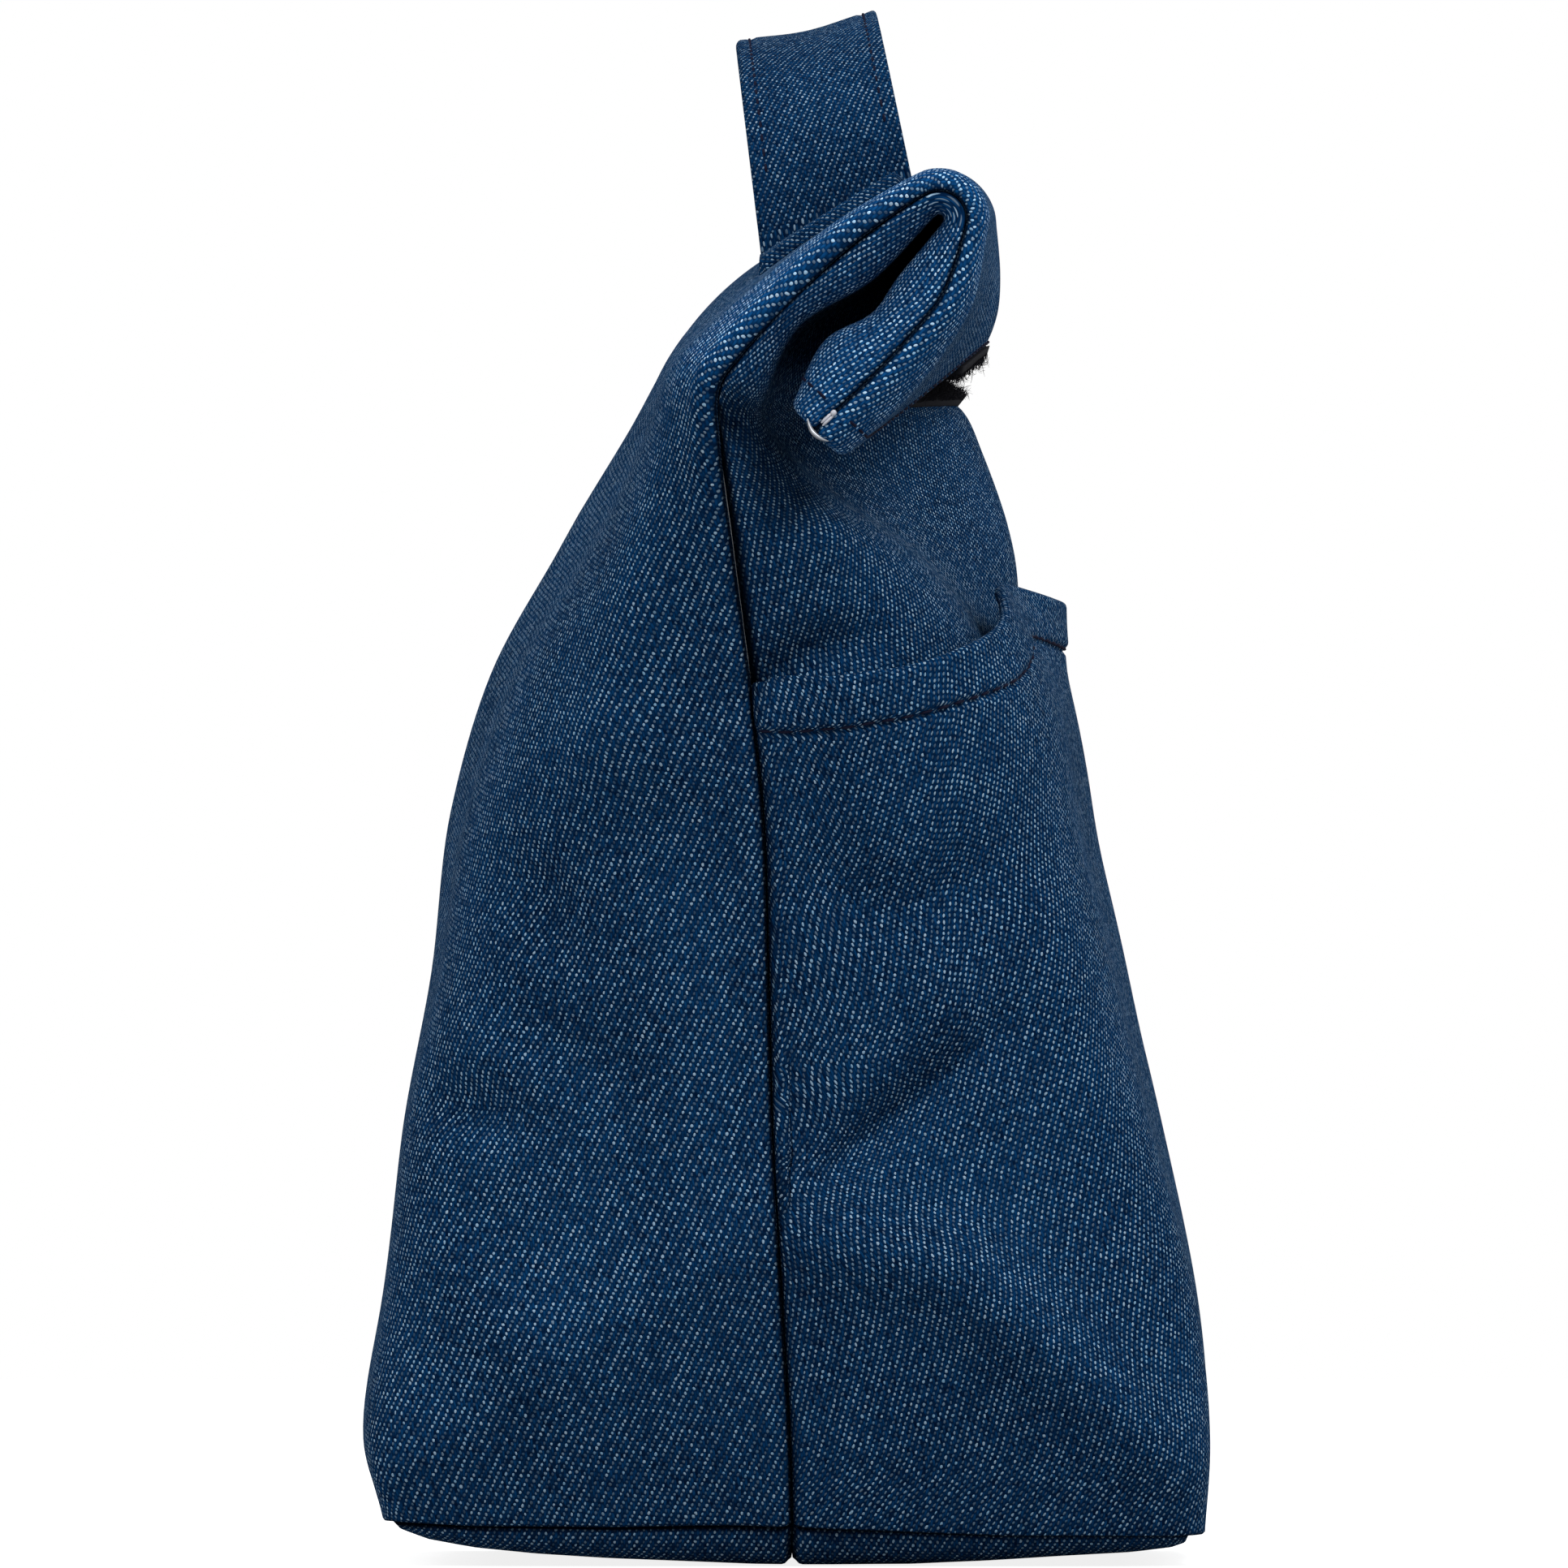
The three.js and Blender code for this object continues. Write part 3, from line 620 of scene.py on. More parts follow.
# %% The repeat of the twill
REPEAT = 3.0
twill, n, given, result = new_group(
    "TwillWeave", [("Threads", "NodeSocketVector")],
    [(label, "NodeSocketFloat") for label in ("Weft", "Height", "Tone", "Lot")])
place = given.outputs["Threads"]
warped = n.noise(place, .35, 2.0)
nudge = n.add("ShaderNodeVectorMath", [("operation", "MULTIPLY_ADD")],
              i0=warped.outputs["Color"], i1=(1.1, .8, 0), i2=place)
split = n.add("ShaderNodeSeparateXYZ", Vector=nudge.outputs[0])
u, v = split.outputs[0], split.outputs[1]
warp_number, weft_number = n.maths("FLOOR", u), n.maths("FLOOR", v)
in_warp = n.maths("SUBTRACT", n.maths("FRACT", u), .5)
in_weft = n.maths("SUBTRACT", n.maths("FRACT", v), .5)
step = n.maths("FLOORED_MODULO", n.maths("SUBTRACT", warp_number, weft_number), REPEAT)
on_top = n.maths("LESS_THAN", step, .5)
cell = n.add("ShaderNodeCombineXYZ", X=warp_number, Y=weft_number)
drawn = n.add("ShaderNodeTexWhiteNoise", [("noise_dimensions", "2D")], Vector=cell.outputs[0])
chance = drawn.outputs["Value"]
print("outputs of the weave:", [s.name for s in twill.interface.items_tree if s.in_out == "OUTPUT"])

# %% [markdown]
# ## Denim: the pale dots
#
# Where the weft shows, it makes a small slanted dot. No two dots of real denim are equally bright: the
# yarn is uneven and the cloth is worn in patches. One brightness for all would look printed. So each
# dot draws its own from its thread numbers, and a slow noise makes the patches.

# %% Dots of weft and their wear
DOT_SLANT, DOT_NARROW, DOT_LOW, DOT_FILL = .2, 2.8, 6.0, 2.2
slanted = n.maths("SUBTRACT", in_warp, n.maths("MULTIPLY", in_weft, DOT_SLANT))
off_centre = n.maths("ADD", n.square(slanted, DOT_NARROW), n.square(in_weft, DOT_LOW))
dot = n.maths("MULTIPLY", n.maths("SUBTRACT", 1.0, off_centre, clamp=True), on_top)
patchy = n.noise(place, .11, 3.0)
worn_and_lit = n.maths("MULTIPLY_ADD", n.maths("MULTIPLY", chance, chance), 1.25, .18)
worn_and_lit = n.maths("MULTIPLY", worn_and_lit, n.maths("MULTIPLY_ADD", patchy.outputs["Fac"], 1.6, .25))
filled = n.maths("SMOOTH_MIN", n.maths("MULTIPLY", dot, DOT_FILL), 1.0, .2)
n.put(n.maths("MULTIPLY", filled, worn_and_lit, clamp=True), result.inputs["Weft"])
n.put(n.maths("FRACT", n.maths("MULTIPLY", chance, 7.0)), result.inputs["Lot"])
print("nodes of the weave so far:", len(twill.nodes))

# %% [markdown]
# ## Denim: ridges and tone of the warp
#
# Each float of warp is a rounded ridge that arches over two wefts. A wave texture would make ridges
# too, but they wouldn't end where a weft crosses, so the ridge is worked out from the place inside its
# own float. Its height feeds the bump. Its crest is painted paler and its ends darker, a painted
# highlight and painted shade of the rounded thread, and streaks along the warp stand for uneven dye.

# %% Ridges, streaks and blotches
RIDGE_NARROW, RIDGE_RAISE, DOT_RAISE = 2.9, .8, .55
along_float = n.maths("ADD", n.maths("SUBTRACT", 2.5, step), in_weft)
arch = n.maths("SINE", n.maths("MULTIPLY", along_float, math.pi / 2), clamp=True)
across_float = n.maths("SUBTRACT", 1.0, n.square(in_warp, RIDGE_NARROW), clamp=True)
ridge = n.maths("MULTIPLY", n.maths("MULTIPLY", across_float, arch), n.maths("SUBTRACT", 1.0, on_top))
raised = n.maths("ADD", n.maths("MULTIPLY", ridge, RIDGE_RAISE), n.maths("MULTIPLY", dot, DOT_RAISE))
n.put(raised, result.inputs["Height"])
across_warps, along_warps = n.maths("MULTIPLY", warp_number, .77), n.maths("MULTIPLY", v, .42)
streak_at = n.add("ShaderNodeCombineXYZ", X=across_warps, Y=along_warps)
streak, blotch = n.noise(streak_at.outputs[0], 1.0, 2.0), n.noise(place, .02, 3.0)
slow = n.maths("MULTIPLY", blotch.outputs["Fac"], .25)
tone = n.maths("ADD", n.maths("MULTIPLY", streak.outputs["Fac"], .75), slow)
tone = n.maths("MULTIPLY", n.maths("SUBTRACT", tone, .33), 2.9, clamp=True)
# Tone: random streaks and blotches of dye, times a painted highlight on the crest of each float.
n.put(n.maths("MULTIPLY", tone, n.maths("MULTIPLY_ADD", ridge, 1.15, .3), clamp=True), result.inputs["Tone"])
print("nodes of the weave:", len(twill.nodes))

# %% [markdown]
# ## Materials
#
# The cloth and the strap are the same weave with other colours, so both take the group. Denim is matt:
# full roughness, no specular and a trace of blue sheen. Two masks on the mesh paint light and shade into
# the colour from place to place: one is a painted highlight that makes the top round the neck paler, the
# other is painted shade that darkens the depth of a seam, more than the gap that was modelled. Thread,
# lining film and tape are plain finishes, each with its own roughness.

# %% Denim and the plain finishes
DARK, BLUE, PALE = (.0010, .0095, .035), (.0028, .039, .125), (.185, .34, .49)
WEBBING_BLUE = (.0025, .034, .108)
# Tint of the dye lots, gain of the painted highlight on the top, and near-black of the painted shade in the
# seams.
LOT_TINT, HIGHLIGHT_GAIN, HOLLOW = (1.6, 1.2, 1.05), 1.75, (.0004, .0012, .004, 1)
BUMP_DISTANCE, BUMP_STRENGTH = .00022, .8


def principled(name, base, roughness, **more):
    material = bpy.data.materials.new(name)
    material.use_nodes = True
    shader = material.node_tree.nodes["Principled BSDF"]
    shader.inputs["Base Color"].default_value = (*base, 1)
    shader.inputs["Roughness"].default_value = roughness
    for key, value in more.items():
        shader.inputs[key.replace("_", " ")].default_value = value
    return material, Nodes(material.node_tree), shader


def denim(name, blue, pale_share):
    material, n, shader = principled(name, blue, 1.0, Specular_IOR_Level=0.0, Sheen_Weight=.012,
                                    Sheen_Roughness=.5, Sheen_Tint=(.25, .6, 1, 1))
    uv = n.add("ShaderNodeUVMap", [("uv_map", "threads")])
    weave = n.add("ShaderNodeGroup", [("node_tree", twill)], Threads=uv.outputs[0])
    indigo = n.mix(weave.outputs["Tone"], (*DARK, 1), (*blue, 1))
    weft = n.mix(weave.outputs["Lot"], (*PALE, 1), (*[p * tint for p, tint in zip(PALE, LOT_TINT)], 1))
    colour = n.mix(n.maths("MULTIPLY", weave.outputs["Weft"], pale_share), indigo, weft)
    # Painted highlight: the colour is made paler where this mask is set, on the top round the neck.
    wear = n.add("ShaderNodeAttribute", [("attribute_name", "wear")])
    worn_and_lit = n.add("ShaderNodeVectorMath", [("operation", "SCALE")], i0=colour, Scale=HIGHLIGHT_GAIN)
    colour = n.mix(wear.outputs["Fac"], colour, worn_and_lit.outputs["Vector"])
    # Painted shade: the colour goes to near black in the depth of the seams.
    hollow = n.add("ShaderNodeAttribute", [("attribute_name", "hollow")])
    n.put(n.mix(hollow.outputs["Fac"], colour, HOLLOW), shader.inputs["Base Color"])
    raised = n.add("ShaderNodeBump", Height=weave.outputs["Height"], Strength=BUMP_STRENGTH,
                   Distance=BUMP_DISTANCE)
    n.put(raised.outputs[0], shader.inputs["Normal"])
    return material


denim_cloth = denim("Denim", BLUE, 1.0)
strap_denim = denim("StrapDenim", WEBBING_BLUE, .75)
thread = principled("SewingThread", (.006, .006, .02), .8, Specular_IOR_Level=.1)[0]
white_thread = principled("BarTackThread", (.55, .56, .62), .6)[0]
foil = principled("LiningFilm", (.62, .64, .67), .35, Metallic=.6)[0]
tape_weave = principled("TapeWeave", (.009, .009, .012), .85, Specular_IOR_Level=.1)[0]
hook_hair = principled("TapePile", (.012, .012, .016), .8, Specular_IOR_Level=.15)[0]
print("materials:", [m.name for m in bpy.data.materials])

# %% [markdown]
# ## The cloth of the two halves
#
# On the real bag the outer cloth of a half is one cut from the base to the mouth. Here the flap moves,
# so the cloth is cut into body, fold and flap, which share their boundary rows. An armature could bend
# it at the fold. The fold pieces are given the two bodies and the places where a blend would begin and
# end, but nothing here blends them.

# %% The body that each part rides on
FOLD_ANGLE = math.radians(-38)
BLEND_REACH = {"back": 4.6, "front": .76}
crease_turn = np.array([0, -math.cos(FOLD_ANGLE), math.sin(FOLD_ANGLE)])
crown_point = np.array([0, -CROWN[0], CROWN[1]])


def body_of(part, half):
    """A body, or for the fold the two bodies and the places where the blend begins and ends."""
    if part == "fold":
        reach = crease_turn * BLEND_REACH[half]
        return "bag_body", "flap", crown_point - reach, crown_point + reach
    return "flap" if part == "flap" else "bag_body"


def solid_name(part, name):
    """The solids of the body have plain names; the others begin with their part."""
    return name if part == "body" else f"{part}_{name}"


for part in PARTS:
    print(part, "is", solid_name(part, "back_panel"), "in the solid model")

# %% [markdown]
# ## Cloth turned at the base and the mouth
#
# No edge of the real cloth is left raw. At the base it turns under into the corner crease; at the mouth
# it goes round the edge and is hemmed inside. A bevel would round these edges, but only added rows
# carry the weave round them as well.

# %% Rows added at the two ends
BASE_TUCK = ((3.4, 1.2), (2.2, .1), (1.1, -.5), (.35, -.45))
TUCK_LENGTHS = (4, 3, 1.8, .8)
HEM_ROWS = 11


def extended(rows, before, after):
    """The first and last rows repeated."""
    return np.concatenate([rows[:1]] * before + [rows] + [rows[-1:]] * after)


def base_tuck(p, s, t, nrm):
    """Rows below the first one, where the cloth turns inwards to the corner seam."""
    flat = nrm[0] * [1, 1, 0]
    flat /= np.linalg.norm(flat, axis=1, keepdims=True)
    added = len(BASE_TUCK)
    p = np.concatenate([[p[0] - flat * inward + [0, 0, down] for inward, down in BASE_TUCK], p])
    t = np.concatenate([t[:1] - length for length in TUCK_LENGTHS] + [t])
    own = normals_of(p, extended(nrm, added, 0))
    return p, extended(s, added, 0), t, np.concatenate([own[:6], nrm[2:]])


def mouth_turn(half, p, s, t, nrm):
    """Rows after the last one, round the edge of the mouth and back down the inside."""
    on = p[-1] - p[-2]
    on /= np.linalg.norm(on, axis=1, keepdims=True)
    out = nrm[-1] * WALL / 2
    angles = np.linspace(0, np.pi, 9)[1:]
    turn = [p[-1] - out + out * math.cos(a) + on * WALL / 2 * math.sin(a) for a in angles]
    p = np.concatenate([p, turn, inner[half]["p"][-2:-2 - HEM_ROWS:-1]])
    added = len(p) - len(nrm)
    own = normals_of(p, np.concatenate([nrm, np.zeros((added, COLUMNS, 3))]))
    return p, extended(s, 0, added), t[:1] + lengths_along(p), np.concatenate([nrm[:-1], own[len(nrm) - 1:]])


print("rows added at the base:", len(BASE_TUCK), "and inside the mouth:", HEM_ROWS)

# %% [markdown]
# ## Seam allowance
#
# Beyond the side seam each half of the real cloth runs on, folded in behind the other one. Welding the
# two halves would close the seam too, but it would smooth the crease away. One more column at each
# side, turned towards the other half, keeps two separate edges and lets no light through.

# %% Columns added along the seams
ALLOWANCE, LAP, BODY_LEAN, SMALLEST_GAP = 2.6, .7, .3, .05


def towards_other_half(half, low, high, before, after):
    """The way from each seam edge to the edge of the other half, for every row of a piece.

    On the body the halves lap already, so the allowance there only leans towards the other half.
    """
    other = outer["front" if half == "back" else "back"]["p"][low:high + 1]
    ways = []
    for column in (0, -1):
        way = other[:, column] - outer[half]["p"][low:high + 1, column]
        way = way / np.maximum(np.linalg.norm(way, axis=1, keepdims=True), SMALLEST_GAP) * LAP
        if low == 0:
            way = way * 0 + [0, -BODY_LEAN if half == "back" else BODY_LEAN, 0]
        ways.append(extended(way, before, after)[:, None])
    return ways


def with_allowance(p, s, t, nrm, ways):
    """One more column at each side, turned in and lapping behind the other half."""
    turned_in = [ALLOWANCE, 0, 0]
    p = np.concatenate([p[:, :1] + ways[0] + turned_in, p, p[:, -1:] + ways[1] - turned_in], 1)
    s = np.concatenate([s[:, :1] - ALLOWANCE, s, s[:, -1:] + ALLOWANCE], 1)
    t = np.pad(t, ((0, 0), (1, 1)), "edge")
    return p, s, t, np.pad(nrm, ((0, 0), (1, 1), (0, 0)), "edge")


print("allowance of", ALLOWANCE, "mm at each seam")

# %% [markdown]
# ## Painted shade in the seams, painted highlight on the top
#
# The real seam is a deep narrow crease, darker than the render of the modelled gap, so painted shade
# darkens its depth. The cloth round the neck is painted paler, as a painted highlight on the top. Both
# could be painted on an image. Values stored on the vertices need no image and follow the seam exactly.

# %% Masks of shade and wear
SHADE, SHADE_WIDTH, BACK_SHADE_WIDTH = .93, {"body": 1.9, "fold": .3, "flap": .45}, .4
NECK_HEIGHT, NECK_SHADE_WIDTH = 205, .45
BASE_SHADE = (1, 1, .9, .45)
# Painted highlight on the top: where it starts, how far it grows, its least amount and its amount beside the
# seam.
HIGHLIGHT_FROM, HIGHLIGHT_OVER, HIGHLIGHT_LEAST, HIGHLIGHT_AT_SEAM = 203, 10, .25, .75


def seam_shade(part, half, p, gap):
    wide = SHADE_WIDTH[part] if half == "front" else BACK_SHADE_WIDTH
    wide = np.where(p[:, :1, 2] > NECK_HEIGHT, NECK_SHADE_WIDTH, wide)
    shade = SHADE * np.exp(-(gap / wide) ** 4)
    if part == "body":
        shade[:4] = np.maximum(shade[:4], np.array(BASE_SHADE)[:, None])
    return shade


def painted_top_highlight(part, p, gap):
    """Painted highlight of the top: most beside the seam, and on the body only above the neck."""
    high_up = np.clip((p[..., 2] - HIGHLIGHT_FROM) / HIGHLIGHT_OVER, 0, 1) if part == "body" else 1
    return high_up * (HIGHLIGHT_AT_SEAM * (1 - smoothstep(gap, 11, 19)) + HIGHLIGHT_LEAST)


print("shade beside the body seam is", SHADE_WIDTH["body"], "mm wide")

# %% [markdown] ## The six pieces of outer cloth  Each piece is a slice of a master grid with its turned
# edges. One mesh with vertex groups could hold them all, but the solid model has a node for each part,
# and a piece stands for its own nodes.

# %% Body, fold and flap cloth


def cloth(part, half):
    low, high = (ROW_START[k] for k in PARTS[part])
    p, s, t, nrm = (outer[half][key][low:high + 1] for key in ("p", "s", "t", "n"))
    if part == "body":
        p, s, t, nrm = base_tuck(p, s, t, nrm)
    if part == "flap":
        p, s, t, nrm = mouth_turn(half, p, s, t, nrm)
    before = len(BASE_TUCK) if part == "body" else 0
    after = len(p) - before - (high - low + 1)
    p, s, t, nrm = with_allowance(p, s, t, nrm, towards_other_half(half, low, high, before, after))
    gap = seam_gap(s)
    names = [solid_name(part, f"{half}_{ply}") for ply in ("panel", "insulation")]
    piece = grid_piece(f"{part}_cloth_{half}", p, denim_cloth, body_of(part, half), uv=threads(half, s, t),
                       normals=nrm, slot="denim", stands_for=names,
                       hollow=seam_shade(part, half, p, gap), wear=painted_top_highlight(part, p, gap))
    return piece


cloths = [cloth(part, half) for half in HALVES for part in PARTS]
print("cloth pieces:", [piece.name for piece in cloths])

# %% [markdown]
# ## Lining
#
# A dull silver film lines the bag. A solidify modifier could give the cloth an inner face, but the film
# needs its own material and has to end below the hem, so it is cut from the inner grids.

# %% Lining inside
ROWS_UNDER_HEM = 9
for half in HALVES:
    for part, (low, high) in PARTS.items():
        end = ROW_START[high] - (ROWS_UNDER_HEM if part == "flap" else 0)
        p, nrm = (inner[half][key][ROW_START[low]:end + 1] for key in ("p", "n"))
        film = grid_piece(f"{part}_lining_{half}", p, foil, body_of(part, half), normals=-nrm,
                          slot="lining", stands_for=(solid_name(part, f"{half}_lining"),))
        print(film.name, "has", p.shape[0], "rows")

# %% [markdown]
# ## Threads
#
# A seam is a row of short stitches. A bump texture would draw them, but flat. Here each stitch is a
# small rounded thread that lies along the path and sinks into the cloth at both ends, so it catches the
# light.

# %% Stitches along a path
RING, RINGS = 6, 5
SINK = np.array([-.3, 0, .06, 0, -.3])[:, None]
FULLNESS = np.array([.45, .95, 1, .95, .45])[:, None]
STITCH_LIFT = .1


def stitches(name, path, normals, material, body, pitch=3.7, length=2.7, radius=.27):
    path, normals = np.asarray(path, float), np.asarray(normals, float)
    run = lengths_along(path)
    starts = np.arange(pitch * .5, run[-1] - length, pitch)
    points = []
    for start in starts:
        at = start + np.linspace(0, length, RINGS)
        c, up = (np.stack([np.interp(at, run, q[:, k]) for k in range(3)], -1) for q in (path, normals))
        up /= np.linalg.norm(up, axis=1, keepdims=True)
        along = (c[-1] - c[0]) / np.linalg.norm(c[-1] - c[0])
        side = np.cross(along, up)
        for a in np.arange(RING) * 2 * np.pi / RING:
            round_it = up * math.sin(a) + side * math.cos(a)
            points.append(c + up * (STITCH_LIFT + SINK) + radius * FULLNESS * round_it)
    p = np.array(points).reshape(len(starts), RING, RINGS, 3).transpose(0, 2, 1, 3)
    firsts = [k * RING * RINGS for k in range(len(starts))]
    sides = grid_faces(RINGS, RING, wrap=True).tolist()
    ends = [list(range(RING))[::-1], [(RINGS - 1) * RING + k for k in range(RING)]]
    faces = [[v + first for v in face] for first in firsts for face in sides]
    faces += [[v + first for v in end] for first in firsts for end in ends]
    mesh = bpy.data.meshes.new(name)
    mesh.from_pydata((p.reshape(-1, 3) * METRE).tolist(), [], faces)
    mesh.shade_smooth()
    return place_piece(name, mesh, material, body)


row, between_corners = ROW_START[MOUTH] - 3, slice(4, COLUMNS - 4)
for half in HALVES:
    path, facing = (outer[half][key][row, between_corners] for key in ("p", "n"))
    seam = stitches(f"mouth_hem_stitches_{half}", path, facing, thread, "flap")
    print(seam.name, "has", len(seam.data.vertices) // (RING * RINGS), "stitches")

# %% [markdown]
# ## Front pocket: its upper edge
#
# The pocket is a second cloth over the front half. Its edge runs level round the side, and rises to the
# corner and on to the middle. Cutting it with a boolean would leave ragged edges. Here the edge is a
# height for each column, turned into a row place, and all rows of the pocket are shares of the way up
# to it.

# %% Height of the pocket's edge
POCKET_SIDE, POCKET_FRONT, CORNER_RISE = 154.5, 168.5, 8.6
RISE_AT_U, RISE_BY = [-6, 9, 20, 28, 36, 41.5], [0, .4, 2.2, 4.4, 6.8, CORNER_RISE]
front = outer["front"]
heights = front["p"][:ROW_START[9], :, 2]
edge_row = int(np.argmin(np.abs(heights[:, 0] - POCKET_SIDE)))
side_rise = np.interp(side_view(front["p"][edge_row])[0], RISE_AT_U, RISE_BY)
front_rise = (POCKET_FRONT - POCKET_SIDE - CORNER_RISE) * smoothstep(seam_gap(front["s"][edge_row]), 46, 95)
top_height = POCKET_SIDE + side_rise + front_rise
row_numbers = np.arange(len(heights))
top_row = np.array([np.interp(top_height[c], heights[:, c], row_numbers) for c in range(COLUMNS)])
print("pocket top heights:", round(float(top_height.min())), "to", round(float(top_height.max())), "mm")

# %% [markdown]
# ## Front pocket: its face
#
# The cloth lies close at the base and the seams and stands away from the bag in front, where the pocket
# gapes. Its hemmed edge is two plies thick, with a groove and small puckers along the stitches. Its
# weave is measured on its own face, because a bulging cloth is longer than the cloth below it.

# %% Face of the pocket
GAPE, HEM, PLY_EASE, POCKET_HEIGHT = 5.2, 8.6, 1.6, 160
shares = np.concatenate([np.linspace(0, .93, 64), np.linspace(.935, 1, 22)])
at_rows = shares[:, None] * top_row
pocket_p, pocket_n = (between_rows(front[key], at_rows) for key in ("p", "n"))
pocket_s = between_rows(front["s"][..., None], at_rows)[..., 0]
bulge = np.clip(np.sin(np.pi * front["s"][60] / front["s"][60, -1]), 0, 1) ** .55
from_top = (1 - shares)[:, None] * np.ones(COLUMNS) * POCKET_HEIGHT
height, edge_gap = pocket_p[..., 2], seam_gap(pocket_s)
at_seam = 1 - np.exp(-(edge_gap / PLY_EASE) ** 2)
away = .5 + 1.1 * at_seam + 1.1 * at_seam * smoothstep(height, 120, 152)
away += GAPE * bulge * smoothstep(height, 88, 150) * smoothstep(edge_gap, 2, 40)
groove = -.75 * np.exp(-((from_top - HEM) / .8) ** 2)
hem_step = .6 * (1 - smoothstep(from_top, HEM - .5, HEM + .5)) + groove
pucker = .16 * np.sin(pocket_s * 2 * np.pi / 7.4) * np.exp(-((from_top - HEM) / 4) ** 2)
face = pocket_p + pocket_n * (away + (hem_step + pucker) * at_seam)[..., None]
middle = slice(COLUMNS // 2, COLUMNS // 2 + 1)
face_s = lengths_along(face, 1)
face_s = face_s - face_s[:, middle] + pocket_s[:, middle]
print("the pocket stands away by up to", round(float(away.max()), 1), "mm")

# %% [markdown] ## Front pocket: lip and inside  At the edge the cloth turns over in a lip and runs
# down inside, so that one looks into a pocket and not at a paper edge. Two more rows lead it into the
# base seam.

# %% Pocket cloth and its hem
up = face[-1] - face[-2]
up /= np.linalg.norm(up, axis=1, keepdims=True)
lip_half = .6 + .55 * at_seam[-1][:, None]
over = pocket_n[-1] * lip_half
lip_angles = np.linspace(0, np.pi, 8)[1:]
lip = [face[-1] - over + over * math.cos(a) + up * lip_half * math.sin(a) for a in lip_angles]
inside_rows = [face[-1 - k] - pocket_n[-1 - k] * 2 * lip_half for k in range(2, 40, 2)]
start_rows = [face[0] - pocket_n[0] * inward + [0, 0, down] for inward, down in ((1.6, -.2), (.5, -.5))]
pocket_all = np.concatenate([face, lip, inside_rows])
along = lengths_along(pocket_all)
along = np.concatenate([along[:1] - 1.6, along[:1] - .7, along])
pocket_all = np.concatenate([start_rows, pocket_all])
added = (2, len(pocket_all) - 2 - len(face))
pocket_shade = SHADE * np.exp(-(seam_gap(extended(pocket_s, *added)) / 1.1) ** 4)
pocket_shade[:2] = 1
pocket = grid_piece("pocket_cloth", pocket_all, denim_cloth, "bag_body",
                    uv=threads("front", extended(face_s, *added), along),
                    normals=normals_of(pocket_all, extended(pocket_n, *added)),
                    slot="denim", stands_for=("front_pocket", "pocket_hem"), hollow=pocket_shade)
hem_row = int(np.argmin(np.abs(from_top[:, 0] - HEM)))
hem_n = pocket_n[hem_row, 3:-3]
hem_stitches = stitches("pocket_hem_stitches", face[hem_row, 3:-3] + hem_n * .1, hem_n, thread, "bag_body")

# %% [markdown]
# ## Base
#
# The base is a separate cloth in two halves with a seam down its middle. It starts under the rolled
# corner and curves down to the floor. A flat plate would leave a hard line where the bag meets the
# floor, so the rise towards the corner is a curve of its own for the back and for the front.

# %% Shape of the base
RIM, RIM_CURL = 6.6, 7
BASE_RISE = {
    -1: ([0, .1, .22, .45, .63, .78, .9, .97, 1], [0, .1, .4, 1, 1.7, 2.6, 3.7, 5, RIM]),
    1: ([0, .1, .3, .48, .66, .85, .95, .985, 1], [0, 0, .1, .7, 1.6, 2.4, 3.3, 4.2, RIM]),
}


def base_point(direction, share, across, depth):
    """Points of the base at shares of the way from its middle to its rim, and across it from -1 to 1."""
    st = stations[0]
    reach = np.abs((st["back"] if direction < 0 else st["front"])[0] - st["seam"][0]) - depth
    u = st["seam"][0] + direction * (.1 + (reach - .1) * share)
    flat = st["width"] - st["corner"]
    edge = flat + (st["corner"] - depth) * (1 - share ** st["square"]) ** (1 / st["square"])
    x = edge * across
    rise = np.interp(share, *BASE_RISE[direction])
    from_edge = np.clip(1 - (edge - np.abs(x)) / RIM_CURL, 0, 1)
    z = rise + (RIM - rise) * (1 - np.sqrt(1 - from_edge ** 2 * .999)) + depth * .6
    return np.stack([x, -u, z], -1)


print("rim of the base:", RIM, "mm up")

# %% [markdown]
# ## Base cloth and base film
#
# The seam along the middle of the base could be a dark line on one mesh, but from below it would look
# flat. So the two halves of the cloth are grids of their own, which meet in a shaded groove. The film
# on the bottom inside is one piece, because no seam shows there.

